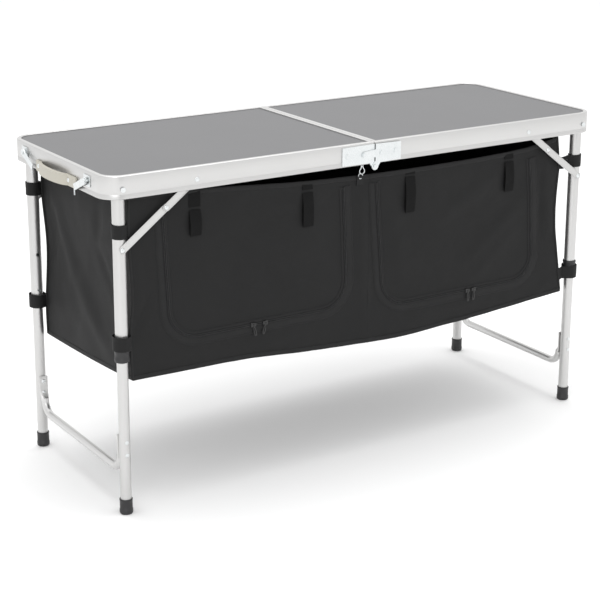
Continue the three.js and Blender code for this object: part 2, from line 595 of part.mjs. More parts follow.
// The latch arm at rest: it slants down towards the handle from its pin, and a narrow
// finger at its tip points straight down.
function latchArm(pivotY, face) {
  const half = LATCH_ARM_WIDTH / 2;
  const slant = THREE.MathUtils.degToRad(LATCH_ARM_SLANT);
  const shape = new THREE.Shape();
  shape.absarc(0, 0, half, Math.PI / 2, Math.PI * 1.5, false);
  shape.lineTo(LATCH_ARM_LENGTH, -half);
  shape.lineTo(LATCH_ARM_LENGTH, half);
  shape.closePath();
  const arm = new THREE.ExtrudeGeometry(shape, {
    depth: LATCH_ARM_THICKNESS, bevelEnabled: false, curveSegments: 8,
  });
  // Drawn along +X, then stood on the rim: its length runs towards the handle.
  const basis = new THREE.Matrix4().makeBasis(
    new THREE.Vector3(0, -face * Math.cos(slant), -Math.sin(slant)),
    new THREE.Vector3(0, -face * Math.sin(slant), Math.cos(slant)),
    new THREE.Vector3(-face, 0, 0),
  );
  const x = -HALF_LENGTH - (face < 0 ? LATCH_ARM_OUTER : LATCH_ARM_INNER);
  const plateArm = solid(arm, at(x, pivotY, LATCH_PIVOT_Z).multiply(basis));
  const tipY = pivotY - face * (LATCH_ARM_LENGTH * Math.cos(slant) - LATCH_FINGER_WIDTH / 2);
  const tipZ = LATCH_PIVOT_Z - LATCH_ARM_LENGTH * Math.sin(slant);
  const finger = box(
    -HALF_LENGTH - LATCH_ARM_OUTER, -HALF_LENGTH - LATCH_ARM_INNER,
    tipY - LATCH_FINGER_WIDTH / 2, tipY + LATCH_FINGER_WIDTH / 2, tipZ - LATCH_FINGER_LENGTH, tipZ,
  );
  return union(plateArm, finger);
}

for (const { row, face } of CORNERS.slice(0, 2)) {
  const y = (face * LATCH_SPACING) / 2;
  const half = LATCH_BASE_WIDTH / 2;
  const baseOuter = -HALF_LENGTH - CLEARANCE;
  const baseX = baseOuter - LATCH_BASE_THICKNESS;
  const headInner = -HALF_LENGTH - LATCH_ARM_OUTER - CLEARANCE;
  const pinRadius = LATCH_PIN_DIAMETER / 2;
  const base = union(
    box(
      baseX, baseOuter, y - half, y + half,
      LATCH_PIVOT_Z - LATCH_BASE_HEIGHT / 2, LATCH_PIVOT_Z + LATCH_BASE_HEIGHT / 2,
    ),
    cylinderX(
      pinRadius, y, LATCH_PIVOT_Z,
      headInner - LATCH_HEAD_HEIGHT / 2, baseX + LATCH_BASE_THICKNESS / 2,
    ),
    cylinderX(LATCH_HEAD_DIAMETER / 2, y, LATCH_PIVOT_Z, headInner - LATCH_HEAD_HEIGHT, headInner),
  );
  add(`${row}_latch_base`, base, ZINC);

  const pinHole = cylinderX(
    pinRadius + CLEARANCE, y, LATCH_PIVOT_Z,
    -HALF_LENGTH - LATCH_ARM_OUTER - 1, -HALF_LENGTH - LATCH_ARM_INNER + 1,
  );
  add(`${row}_latch_lever`, cut(latchArm(y, face), pinHole), ZINC);

  // The keeper on the other end has a headed stud that the hook's finger catches.
  const keeperX = HALF_LENGTH + CLEARANCE;
  const keeperY = y + face * KEEPER_OFFSET;
  const keeperZ = RIM_BOTTOM + KEEPER_RISE;
  const studX = keeperX + LATCH_BASE_THICKNESS + KEEPER_STUD_LENGTH;
  const keeper = union(
    box(
      keeperX, keeperX + LATCH_BASE_THICKNESS, keeperY - half, keeperY + half,
      keeperZ - LATCH_BASE_HEIGHT / 2, keeperZ + LATCH_BASE_HEIGHT / 2,
    ),
    cylinderX(pinRadius, keeperY, keeperZ, keeperX + LATCH_BASE_THICKNESS / 2, studX),
    cylinderX(
      LATCH_HEAD_DIAMETER / 2, keeperY, keeperZ,
      studX - LATCH_HEAD_HEIGHT / 2, studX + LATCH_HEAD_HEIGHT / 2,
    ),
  );
  add(`${row}_latch_keeper`, keeper, ZINC);
}

// ---------------------------------------------------------------- snap clip
// A teardrop of spring wire under the front rim that holds the organiser's middle up. Its
// two ends nearly meet at the lower tip.
{
  const top = RIM_BOTTOM - CLEARANCE - CLIP_WIRE / 2;
  const half = CLIP_WIDTH / 2;
  const tip = CLIP_WIRE * 0.7;
  const profile = [
    [-tip, CLIP_LENGTH], [-half * 0.8, CLIP_LENGTH * 0.5], [-half, CLIP_LENGTH * 0.2], [0, 0],
    [half, CLIP_LENGTH * 0.2], [half * 0.8, CLIP_LENGTH * 0.5], [tip, CLIP_LENGTH],
  ];
  const clipY = CLIP_INSET - HALF_DEPTH;
  const points = profile.map(([dx, drop]) => new THREE.Vector3(CLIP_X + dx, clipY, top - drop));
  add('snap_clip', barAlong(new THREE.CatmullRomCurve3(points), CLIP_WIRE / 2, 18, 6), ZINC);
}

// ---------------------------------------------------------------- organiser
// Each half hangs a fabric compartment between the legs: open at the top under the table,
// with one shelf and a doorway in front that a zipped fabric door closes.
function doorOutline(end, side, gap) {
  const outerX = BAG_HALF_LENGTH - DOOR_END_MARGIN[end] - gap;
  const innerX = DOOR_SEAM_MARGIN[end] + gap;
  const top = BAG_TOP - DOOR_TOP_DROP - gap;
  const bottom = BAG_BOTTOM + DOOR_BOTTOM_RISE[end] + gap;
  const radius = DOOR_CORNER_RADIUS - gap;
  const shape = new THREE.Shape();
  shape.moveTo(side * outerX, top);
  shape.lineTo(side * innerX, top);
  shape.lineTo(side * innerX, bottom + radius);
  shape.quadraticCurveTo(side * innerX, bottom, side * (innerX + radius), bottom);
  shape.lineTo(side * (outerX - radius), bottom);
  shape.quadraticCurveTo(side * outerX, bottom, side * outerX, bottom + radius);
  shape.closePath();
  return shape;
}

for (const { end, side } of ENDS) {
  const [low, high] = [side * BAG_SEAM_GAP, side * BAG_HALF_LENGTH].sort((a, b) => a - b);
  const wide = BAG_HALF_DEPTH;
  const cloth = BAG_CLOTH;
  const room = (z0, z1) => box(low + cloth, high - cloth, -wide + cloth, wide - cloth, z0, z1);
  const doorway = plate(doorOutline(end, side, 0), -wide - 1, -wide + cloth + 1);
  const compartment = cut(
    box(low, high, -wide, wide, BAG_BOTTOM, BAG_TOP),
    room(BAG_BOTTOM + cloth, BAG_SHELF_Z - cloth / 2),
    room(BAG_SHELF_Z + cloth / 2, BAG_TOP + 1),
    doorway,
  );
  add(`${end}_compartment`, compartment, FABRIC);
  add(`${end}_door`, plate(doorOutline(end, side, ZIP_GAP), -wide, -wide + DOOR_CLOTH), FABRIC);

  const doorMiddle = (BAG_HALF_LENGTH - DOOR_END_MARGIN[end] + DOOR_SEAM_MARGIN[end]) / 2;
  const x = side * doorMiddle + SLIDER_OFFSETS[end];
  const z = BAG_BOTTOM + DOOR_BOTTOM_RISE[end] + ZIP_GAP + SLIDER_WIDTH / 2;
  const slider = box(
    x - SLIDER_LENGTH / 2, x + SLIDER_LENGTH / 2,
    -wide - CLEARANCE - SLIDER_THICKNESS, -wide - CLEARANCE, z - SLIDER_WIDTH / 2, z + SLIDER_WIDTH / 2,
  );
  add(`${end}_zip_slider`, slider, BLACK_PLASTIC);
}

export default table;
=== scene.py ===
import json
import math

import bmesh
import bpy
import numpy as np
from mathutils import Matrix, Vector, noise


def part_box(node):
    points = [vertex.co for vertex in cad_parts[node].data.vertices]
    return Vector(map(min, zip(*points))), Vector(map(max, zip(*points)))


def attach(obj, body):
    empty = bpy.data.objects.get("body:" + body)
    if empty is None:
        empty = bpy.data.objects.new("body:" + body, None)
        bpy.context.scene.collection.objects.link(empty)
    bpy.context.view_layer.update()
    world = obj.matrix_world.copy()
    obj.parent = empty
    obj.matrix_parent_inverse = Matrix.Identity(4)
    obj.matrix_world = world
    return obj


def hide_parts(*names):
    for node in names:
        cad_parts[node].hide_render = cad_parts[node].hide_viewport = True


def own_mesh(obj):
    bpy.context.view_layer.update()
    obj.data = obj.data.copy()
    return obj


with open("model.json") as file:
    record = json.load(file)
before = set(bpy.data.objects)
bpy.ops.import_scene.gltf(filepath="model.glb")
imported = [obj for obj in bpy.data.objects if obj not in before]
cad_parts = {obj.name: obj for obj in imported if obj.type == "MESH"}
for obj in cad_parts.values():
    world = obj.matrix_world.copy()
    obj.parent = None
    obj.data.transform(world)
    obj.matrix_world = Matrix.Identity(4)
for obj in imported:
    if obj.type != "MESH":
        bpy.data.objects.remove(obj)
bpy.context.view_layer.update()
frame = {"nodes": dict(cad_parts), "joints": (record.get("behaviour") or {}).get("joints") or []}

# ---------------------------------------------------------------- the place it stands in
# The table stands on pale paper under two soft boxes, in an even white surround.
# The camera looks down at it from its handle end, past the zipped front.
SEAM_X = (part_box("left_seam_edge")[1].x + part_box("right_seam_edge")[0].x) / 2
CAMERA_PLACE = Vector((SEAM_X - 1.811, -2.751, 1.3526))
CAMERA_AZIMUTH = math.radians(-32.83)
CAMERA_DOWN = math.radians(15.25)
CAMERA_ROLL = math.radians(0.2)

camera_data = bpy.data.cameras.new("camera")
camera_data.sensor_width = 36
camera_data.lens = 94.46
camera_data.shift_y = -0.125
camera_data.clip_end = 60
camera = bpy.data.objects.new("camera", camera_data)
bpy.context.scene.collection.objects.link(camera)
camera.matrix_world = (
    Matrix.Translation(CAMERA_PLACE)
    @ Matrix.Rotation(CAMERA_AZIMUTH, 4, "Z")
    @ Matrix.Rotation(math.pi / 2 - CAMERA_DOWN, 4, "X")
    @ Matrix.Rotation(CAMERA_ROLL, 4, "Z")
)
bpy.context.scene.camera = camera
bpy.context.scene.view_settings.view_transform = "Standard"


def finish_nodes(name):
    """A new material with its node tree, its surface shader and a coordinate source."""
    material = bpy.data.materials.new(name)
    material.use_nodes = True
    nodes = material.node_tree.nodes
    shader = nodes["Principled BSDF"]
    place = nodes.new("ShaderNodeTexCoord").outputs["Object"]
    return material, nodes, material.node_tree.links, shader, place


floor_mesh = bpy.data.meshes.new("studio_floor")
floor_mesh.from_pydata([(-30, -30, 0), (30, -30, 0), (30, 30, 0), (-30, 30, 0)], [], [(0, 1, 2, 3)])
floor = bpy.data.objects.new("studio_floor", floor_mesh)
bpy.context.scene.collection.objects.link(floor)
floor.location.z = -0.0004
paper, nodes, links, shader, place = finish_nodes("studio_paper")
shader.inputs["Base Color"].default_value = (0.95, 0.95, 0.95, 1)
shader.inputs["Roughness"].default_value = 0.9
shader.inputs["Specular IOR Level"].default_value = 0.1
floor_mesh.materials.append(paper)

world = bpy.data.worlds.new("studio")
world.use_nodes = True
world.node_tree.nodes["Background"].inputs["Color"].default_value = (1, 1, 1, 1)
world.node_tree.nodes["Background"].inputs["Strength"].default_value = 1.06
bpy.context.scene.world = world


def soft_light(name, place, aim, size, power):
    """A square soft box that points at a spot on the table."""
    data = bpy.data.lights.new(name, "AREA")
    data.size = size
    data.energy = power
    lamp = bpy.data.objects.new(name, data)
    bpy.context.scene.collection.objects.link(lamp)
    lamp.location = place
    lamp.rotation_euler = (Vector(aim) - Vector(place)).to_track_quat("-Z", "Y").to_euler()


def dark_flag(name, place, wide, high):
    """A black card that faces the table, seen only as a dark streak in the metal."""
    mesh = bpy.data.meshes.new(name)
    half_wide, half_high = wide / 2, high / 2
    corners = [
        (-half_wide, -half_high, 0), (half_wide, -half_high, 0), (half_wide, half_high, 0),
        (-half_wide, half_high, 0),
    ]
    mesh.from_pydata(corners, [], [(0, 1, 2, 3)])
    card = bpy.data.objects.new(name, mesh)
    bpy.context.scene.collection.objects.link(card)
    card.location = place
    card.rotation_euler = (Vector((0, 0, place[2])) - Vector(place)).to_track_quat("-Z", "Y").to_euler()
    card.visible_camera = False
    card.visible_diffuse = False
    card.visible_shadow = False
    mesh.materials.append(flag_cloth)


flag_cloth, nodes, links, shader, place = finish_nodes("flag_cloth")
shader.inputs["Base Color"].default_value = (0.02, 0.02, 0.02, 1)
shader.inputs["Roughness"].default_value = 0.9
dark_flag("side_flag", (-0.65, -3.2, 0.7), 0.5, 3.0)
soft_light("overhead_box", (0.2, 0.3, 3.6), (0, 0, 0.3), 3.2, 62)
soft_light("front_box", (-2.6, -3.4, 2.6), (0, 0, 0.4), 2.2, 34)


# ---------------------------------------------------------------- aluminium rims
# Each half of the top sits in a bent aluminium extrusion: a flat band with a rounded top
# edge, a lip over the panel, a ledge under it and a small turned-in foot.
def brushed_aluminium(name, along, tone):
    """Satin anodised aluminium, finely brushed along one axis, with a few dull smears."""
    material, nodes, links, shader, place = finish_nodes(name)
    shader.inputs["Base Color"].default_value = (tone, tone * 0.995, tone * 0.985, 1)
    shader.inputs["Metallic"].default_value = 0.92
    stretch = nodes.new("ShaderNodeMapping")
    scale = [260, 260, 260]
    scale["XYZ".index(along)] = 4
    stretch.inputs["Scale"].default_value = scale
    brush = nodes.new("ShaderNodeTexNoise")
    brush.inputs["Scale"].default_value = 4
    brush.inputs["Detail"].default_value = 3
    smear = nodes.new("ShaderNodeTexNoise")
    smear.inputs["Scale"].default_value = 9
    smear.inputs["Detail"].default_value = 4
    rough = nodes.new("ShaderNodeMapRange")
    rough.inputs["To Min"].default_value = 0.30
    rough.inputs["To Max"].default_value = 0.46
    dent = nodes.new("ShaderNodeBump")
    dent.inputs["Strength"].default_value = 0.12
    dent.inputs["Distance"].default_value = 0.0006
    links.new(place, stretch.inputs["Vector"])
    links.new(stretch.outputs["Vector"], brush.inputs["Vector"])
    links.new(place, smear.inputs["Vector"])
    links.new(smear.outputs["Fac"], rough.inputs["Value"])
    links.new(rough.outputs["Result"], shader.inputs["Roughness"])
    links.new(brush.outputs["Fac"], dent.inputs["Height"])
    links.new(dent.outputs["Normal"], shader.inputs["Normal"])
    return material


def make_piece(name, points, faces, material, body, slot, stands_for=(), smooth_angle=35):
    """A mesh piece with its finish, riding on its body in place of CAD nodes."""
    mesh = bpy.data.meshes.new(name)
    mesh.from_pydata([tuple(p) for p in points], [], faces)
    mesh.validate()
    tidy = bmesh.new()
    tidy.from_mesh(mesh)
    bmesh.ops.recalc_face_normals(tidy, faces=tidy.faces)
    tidy.to_mesh(mesh)
    tidy.free()
    mesh.materials.append(material)
    mesh.shade_smooth()
    mesh.set_sharp_from_angle(angle=math.radians(smooth_angle))
    piece = bpy.data.objects.new(name, mesh)
    bpy.context.scene.collection.objects.link(piece)
    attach(piece, body)
    if stands_for:
        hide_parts(*stands_for)
    return piece


def rings(loops, closed_around=True, closed_along=False, caps=True):
    """Points and faces of a skin over loops that hold the same number of points."""
    size = len(loops[0])
    points = [p for loop in loops for p in loop]
    faces = []
    rows = len(loops) if closed_along else len(loops) - 1
    columns = size if closed_around else size - 1
    for i in range(rows):
        for j in range(columns):
            a, b = i * size, ((i + 1) % len(loops)) * size
            k = (j + 1) % size
            faces.append((a + j, a + k, b + k, b + j))
    if caps and closed_around and not closed_along:
        faces.append(tuple(range(size)))
        faces.append(tuple((len(loops) - 1) * size + j for j in reversed(range(size))))
    return points, faces


MM = 0.001
RIM_CORNER = 42 * MM
RIM_WALL = 1.6 * MM
RIM_LIP = 9 * MM
RIM_FOOT = 3.6 * MM


def half_path(side, inset, steps=12):
    """Plan of one half of the top from the front of the seam round its end to the rear."""
    low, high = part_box(f"{'left' if side < 0 else 'right'}_rim")
    seam = (high.x if side < 0 else low.x)
    far = (low.x if side < 0 else high.x) - side * inset
    wide = high.y - inset
    radius = RIM_CORNER - inset
    path = [(seam, -wide)]
    for i in range(steps + 1):
        turn = math.pi / 2 * i / steps
        path.append((far - side * radius * (1 - math.sin(turn)), -wide + radius * (1 - math.cos(turn))))
    for i in range(steps + 1):
        turn = math.pi / 2 * i / steps
        path.append((far - side * radius * (1 - math.cos(turn)), wide - radius * (1 - math.sin(turn))))
    path.append((seam, wide))
    return path


aluminium_x = brushed_aluminium("aluminium_brushed_along_the_rim", "X", 0.60)
for end, side in (("left", -1), ("right", 1)):
    low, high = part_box(f"{end}_rim")
    shelf_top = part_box(f"{end}_panel")[0].z - 0.4 * MM
    edge = 2.6 * MM
    section = [
        (0, low.z + 0.8 * MM), (0, low.z + 9 * MM), (0.35 * MM, low.z + 9.5 * MM),
        (0.35 * MM, low.z + 10.3 * MM), (0, low.z + 10.8 * MM), (0, high.z - edge),
    ]
    section += [
        (edge * (1 - math.cos(math.pi / 2 * i / 5)), high.z - edge * (1 - math.sin(math.pi / 2 * i / 5)))
        for i in range(1, 6)
    ]
    section += [
        (RIM_LIP - 0.7 * MM, high.z), (RIM_LIP, high.z - 0.7 * MM), (RIM_LIP, high.z - RIM_WALL),
        (RIM_WALL, high.z - RIM_WALL), (RIM_WALL, shelf_top), (RIM_LIP, shelf_top),
        (RIM_LIP, shelf_top - RIM_WALL), (RIM_WALL, shelf_top - RIM_WALL),
        (RIM_WALL, low.z + RIM_WALL), (RIM_FOOT, low.z + RIM_WALL), (RIM_FOOT, low.z),
        (0.8 * MM, low.z),
    ]
    loops = []
    paths = {inset: half_path(side, inset) for inset, _ in section}
    for i in range(len(half_path(side, 0))):
        loops.append([Vector((*paths[inset][i], z)) for inset, z in section])
    make_piece(
        f"{end}_rim_band", *rings(loops), aluminium_x, f"{end}_top", "aluminium", [f"{end}_rim"],
    )


# ---------------------------------------------------------------- laminate panels
# The tops are thin board faced with a fine matt grey laminate. They are slid into the
# rims and meet at an aluminium edge along each side of the seam.
laminate, nodes, links, shader, place = finish_nodes("grey_laminate")
speckle = nodes.new("ShaderNodeTexNoise")
speckle.inputs["Scale"].default_value = 900
speckle.inputs["Detail"].default_value = 2
clouds = nodes.new("ShaderNodeTexNoise")
clouds.inputs["Scale"].default_value = 3.2
clouds.inputs["Detail"].default_value = 4
tone = nodes.new("ShaderNodeMix")
tone.data_type = "RGBA"
tone.inputs["A"].default_value = (0.112, 0.112, 0.116, 1)
tone.inputs["B"].default_value = (0.134, 0.134, 0.138, 1)
sum_of = nodes.new("ShaderNodeMath")
sum_of.operation = "MULTIPLY_ADD"
sum_of.inputs[1].default_value = 0.55
rough = nodes.new("ShaderNodeMapRange")
rough.inputs["To Min"].default_value = 0.42
rough.inputs["To Max"].default_value = 0.58
orange_peel = nodes.new("ShaderNodeBump")
orange_peel.inputs["Strength"].default_value = 0.18
orange_peel.inputs["Distance"].default_value = 0.0004
links.new(place, speckle.inputs["Vector"])
links.new(place, clouds.inputs["Vector"])
links.new(speckle.outputs["Fac"], sum_of.inputs[0])
links.new(clouds.outputs["Fac"], sum_of.inputs[2])
links.new(sum_of.outputs["Value"], tone.inputs["Factor"])
links.new(tone.outputs["Result"], shader.inputs["Base Color"])
links.new(clouds.outputs["Fac"], rough.inputs["Value"])
links.new(rough.outputs["Result"], shader.inputs["Roughness"])
links.new(speckle.outputs["Fac"], orange_peel.inputs["Height"])
links.new(orange_peel.outputs["Normal"], shader.inputs["Normal"])


def repaint(node, material):
    """Gives a CAD node its finish."""
    mesh = frame["nodes"][node].data
    mesh.materials.clear()
    mesh.materials.append(material)


def soften_edges(node, width):
    """A small machined radius on a CAD node's sharp edges."""
    edge = frame["nodes"][node].modifiers.new("edge_radius", "BEVEL")
    edge.width = width
    edge.segments = 2
    edge.limit_method = "ANGLE"
    edge.angle_limit = math.radians(50)


aluminium_y = brushed_aluminium("aluminium_brushed_across", "Y", 0.64)
for end in ("left", "right"):
    repaint(f"{end}_panel", laminate)
    repaint(f"{end}_seam_edge", aluminium_y)
    soften_edges(f"{end}_seam_edge", 0.5 * MM)


# ---------------------------------------------------------------- zinc-plated hardware
# Hinge leaves, pins, rivets, latches and the snap clip are pressed or turned steel with a
# bright zinc plating that has a cloudy crystal pattern.
zinc, nodes, links, shader, place = finish_nodes("bright_zinc_plate")
crystal = nodes.new("ShaderNodeTexVoronoi")
crystal.inputs["Scale"].default_value = 380
haze = nodes.new("ShaderNodeTexNoise")
haze.inputs["Scale"].default_value = 45
haze.inputs["Detail"].default_value = 4
plate_tone = nodes.new("ShaderNodeMix")
plate_tone.data_type = "RGBA"
plate_tone.inputs["A"].default_value = (0.66, 0.69, 0.70, 1)
plate_tone.inputs["B"].default_value = (0.80, 0.82, 0.82, 1)
plate_rough = nodes.new("ShaderNodeMapRange")
plate_rough.inputs["To Min"].default_value = 0.20
plate_rough.inputs["To Max"].default_value = 0.42
shader.inputs["Metallic"].default_value = 0.95
links.new(place, crystal.inputs["Vector"])
links.new(place, haze.inputs["Vector"])
links.new(haze.outputs["Fac"], plate_tone.inputs["Factor"])
links.new(plate_tone.outputs["Result"], shader.inputs["Base Color"])
links.new(crystal.outputs["Distance"], plate_rough.inputs["Value"])
links.new(plate_rough.outputs["Result"], shader.inputs["Roughness"])

pressed_parts = (
    "hinge_left_leaf", "hinge_right_leaf", "hinge_pin", "latch_base", "latch_keeper", "latch_lever",
)
for row in ("front", "rear"):
    for part in pressed_parts:
        repaint(f"{row}_{part}", zinc)
        soften_edges(f"{row}_{part}", 0.35 * MM)
    for end in ("left", "right"):
        repaint(f"{row}_{end}_leg_pivot_rivet", zinc)
        repaint(f"{row}_{end}_snap_button", zinc)


# ---------------------------------------------------------------- telescopic legs
# Each leg is a 25 mm upper tube with a moulded collar, and a 22 mm lower tube that slides
# in it, locked by a sprung button. A soft black cap closes the foot.
def turned(name, centre, profile, material, body, slot, stands_for=(), sides=48, smooth_angle=35):
    """A body of revolution about a vertical line, from (radius, height) points, closed on itself."""
    loops = []
    for i in range(sides):
        angle = 2 * math.pi * i / sides
        loops.append([
            Vector((centre[0] + r * math.cos(angle), centre[1] + r * math.sin(angle), z)) for r, z in profile
        ])
    points, faces = rings(loops, closed_along=True, caps=False)
    return make_piece(name, points, faces, material, body, slot, stands_for, smooth_angle)


def middle(node):
    low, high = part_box(node)
    return (low + high) / 2


def drill(piece, holes):
    """Cuts round holes along Y, each (x, z, y from, y to, radius), and keeps the result."""
    for x, z, y0, y1, radius in holes:
        drill_bit = bmesh.new()
        bmesh.ops.create_cone(
            drill_bit, cap_ends=True, segments=24, radius1=radius, radius2=radius, depth=abs(y1 - y0),
            matrix=Matrix.Translation((x, (y0 + y1) / 2, z)) @ Matrix.Rotation(math.pi / 2, 4, "X"),
        )
        mesh = bpy.data.meshes.new("drill_bit")
        drill_bit.to_mesh(mesh)
        drill_bit.free()
        bit = bpy.data.objects.new("drill_bit", mesh)
        bpy.context.scene.collection.objects.link(bit)
        cut = piece.modifiers.new("hole", "BOOLEAN")
        cut.object = bit
        cut.solver = "EXACT"
        result = bpy.data.meshes.new_from_object(piece.evaluated_get(bpy.context.evaluated_depsgraph_get()))
        piece.modifiers.clear()
        piece.data = result
        bpy.data.objects.remove(bit)
    piece.data.set_sharp_from_angle(angle=math.radians(35))


aluminium_z = brushed_aluminium("aluminium_brushed_along_the_legs", "Z", 0.60)

moulded, nodes, links, shader, place = finish_nodes("black_moulded_plastic")
shader.inputs["Base Color"].default_value = (0.018, 0.018, 0.019, 1)
grain = nodes.new("ShaderNodeTexNoise")
grain.inputs["Scale"].default_value = 700
grain.inputs["Detail"].default_value = 2
scuff = nodes.new("ShaderNodeTexNoise")
scuff.inputs["Scale"].default_value = 60
scuff.inputs["Detail"].default_value = 5
skin = nodes.new("ShaderNodeBump")
skin.inputs["Strength"].default_value = 0.25
skin.inputs["Distance"].default_value = 0.0004
skin_rough = nodes.new("ShaderNodeMapRange")
skin_rough.inputs["To Min"].default_value = 0.38
skin_rough.inputs["To Max"].default_value = 0.6
links.new(place, grain.inputs["Vector"])
links.new(place, scuff.inputs["Vector"])
links.new(grain.outputs["Fac"], skin.inputs["Height"])
links.new(skin.outputs["Normal"], shader.inputs["Normal"])
links.new(scuff.outputs["Fac"], skin_rough.inputs["Value"])
links.new(skin_rough.outputs["Result"], shader.inputs["Roughness"])

UPPER_WALL = 1.2 * MM
LOWER_WALL = 1.1 * MM
BUTTON_PITCH = 76 * MM

for end in ("left", "right"):
    for row, face in (("front", -1), ("rear", 1)):
        leg = f"{row}_{end}"
        low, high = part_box(f"{leg}_upper_leg")
        centre = middle(f"{leg}_upper_leg")
        radius = (high.x - low.x) / 2
        chamfer = 0.4 * MM
        upper = turned(
            f"{leg}_upper_tube", centre,
            [
                (radius, low.z), (radius, high.z - chamfer), (radius - chamfer, high.z),
                (radius - UPPER_WALL, high.z), (radius - UPPER_WALL, low.z),
            ],
            aluminium_z, f"{end}_legs", "aluminium", [f"{leg}_upper_leg"],
        )
        button = middle(f"{leg}_snap_button")
        button_radius = 3.9 * MM
        inward = (centre.y, centre.y - face * 2 * radius, button_radius)
        drill(upper, [(centre.x, button.z, *inward), (centre.x, button.z + BUTTON_PITCH, *inward)])

        low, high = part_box(f"{leg}_lower_leg")
        radius = (high.x - low.x) / 2
        lower = turned(
            f"{leg}_lower_tube", centre,
            [(radius, low.z), (radius, high.z), (radius - LOWER_WALL, high.z), (radius - LOWER_WALL, low.z)],
            aluminium_z, f"{end}_lower_legs", "aluminium", [f"{leg}_lower_leg"],
        )
        drill(lower, [(centre.x, button.z, *inward)])
        lower_radius = radius

        low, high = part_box(f"{leg}_collar")
        radius = (high.x - low.x) / 2
        upper_bore = 12.9 * MM
        lower_bore = lower_radius + 0.5 * MM
        seat = low.z + 5.6 * MM
        turned(
            f"{leg}_collar_sleeve", centre,
            [
                (lower_bore, low.z), (radius - 2.4 * MM, low.z), (radius - 0.8 * MM, low.z + 0.9 * MM),
                (radius, low.z + 3 * MM), (radius, low.z + 8 * MM), (radius - 0.7 * MM, low.z + 8.6 * MM),
                (radius - 0.7 * MM, high.z - 6 * MM), (radius - 0.2 * MM, high.z - 5.4 * MM),
                (radius - 0.2 * MM, high.z - 1.4 * MM), (radius - 1.2 * MM, high.z),
                (upper_bore, high.z), (upper_bore, seat), (lower_bore, seat),
            ],
            moulded, f"{end}_legs", "black_plastic", [f"{leg}_collar"], smooth_angle=50,
        )

        low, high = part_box(f"{leg}_foot_cap")
        radius = (high.x - low.x) / 2
        bore = lower_radius + 0.4 * MM
        turned(
            f"{leg}_foot_boot", centre,
            [
                (0.2 * MM, low.z), (radius - 3 * MM, low.z), (radius - 1.2 * MM, low.z + 0.5 * MM),
                (radius - 0.3 * MM, low.z + 1.8 * MM), (radius, low.z + 4 * MM), (radius, low.z + 9 * MM),
                (radius - 0.7 * MM, low.z + 9.6 * MM), (radius - 0.7 * MM, high.z - 3 * MM),
                (radius - 0.2 * MM, high.z - 2.4 * MM), (radius - 0.4 * MM, high.z - 0.6 * MM),
                (radius - 1 * MM, high.z), (bore, high.z), (bore, low.z + 4 * MM), (0.2 * MM, low.z + 4 * MM),
            ],
            moulded, f"{end}_lower_legs", "black_plastic", [f"{leg}_foot_cap"], smooth_angle=50,
        )


# ---------------------------------------------------------------- stretchers
# One bent tube ties the two lower legs of an end together. Its ends are pressed flat and
# riveted twice to the inner side of each leg.
def bent_bar(route, sections):
    """Loops of points along a route: each section is a list of (sideways, up) offsets."""
    loops = []
    for i, here in enumerate(route):
        before = route[max(i - 1, 0)]
        after = route[min(i + 1, len(route) - 1)]
        forward = (after - before).normalized()
        side = Vector((1, 0, 0))
        up = side.cross(forward).normalized()
        loops.append([here + side * a + up * b for a, b in sections[i]])
    return loops


def domed_rivet(name, centre, outward, radius, height, material, body, slot, sides=20):
    """A low domed rivet head on a face, pointing outward."""
    outward = Vector(outward).normalized()
    across = outward.orthogonal().normalized()
    other = outward.cross(across)
    turns = [2 * math.pi * j / sides for j in range(sides)]
    loops = []
    for reach, rise in ((1, -0.12), (1, 0.18), (0.93, 0.5), (0.72, 0.82), (0.4, 0.97), (0.06, 1)):
        loops.append([
            Vector(centre) + outward * (rise * height)
            + (across * math.cos(turn) + other * math.sin(turn)) * (radius * reach)
            for turn in turns
        ])
    return make_piece(name, *rings(loops), material, body, slot, smooth_angle=60)


for end in ("left", "right"):
    low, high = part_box(f"{end}_stretcher")
    x = (low.x + high.x) / 2
    bar_radius = 8 * MM
    bend = 30 * MM
    flat_half_wide = 10 * MM
    flat_half_thick = 1.5 * MM
    flat_length = 34 * MM
    flat_and_flare = 52 * MM
    bar_z = low.z + bar_radius
    flat_y = high.y - flat_half_thick
    tube_y = high.y - bar_radius
    top = high.z - 4 * MM
    route = [
        Vector((x, -flat_y, top)), Vector((x, -flat_y, top - flat_length)),
        Vector((x, -tube_y, top - flat_and_flare)),
    ]
    for i in range(9):
        turn = math.pi / 2 * i / 8
        route.append(Vector((
            x, -tube_y + bend * (1 - math.cos(turn)), bar_z + bend * (1 - math.sin(turn)),
        )))
    flatness = [1, 1, 0.25] + [0] * 9
    route += [Vector((p.x, -p.y, p.z)) for p in reversed(route)]
    flatness += list(reversed(flatness))
    sections = []
    for flat in flatness:
        wide = bar_radius + (flat_half_wide - bar_radius) * flat
        thick = bar_radius + (flat_half_thick - bar_radius) * flat
        sections.append([
            (wide * math.cos(2 * math.pi * j / 28), thick * math.sin(2 * math.pi * j / 28)) for j in range(28)
        ])
    make_piece(
        f"{end}_stretcher_tube", *rings(bent_bar(route, sections)), aluminium_y, f"{end}_lower_legs",
        "aluminium", [f"{end}_stretcher"], smooth_angle=60,
    )
    for row, face in (("front", -1), ("rear", 1)):
        inner_y = face * (high.y - 2 * flat_half_thick)
        outer_y = face * (high.y + 22.2 * MM)
        for i, drop in enumerate((15 * MM, 41 * MM)):
            domed_rivet(
                f"{end}_stretcher_rivet_{row}_{i + 1}", (x, inner_y, high.z - drop), (0, -face, 0), 4.6 * MM,
                1.9 * MM, zinc, f"{end}_lower_legs", "zinc_plate",
            )
            domed_rivet(
                f"{end}_leg_rivet_{row}_{i + 1}", (x, outer_y, high.z - drop), (0, face, 0), 4 * MM,
                1.2 * MM, zinc, f"{end}_lower_legs", "zinc_plate",
            )


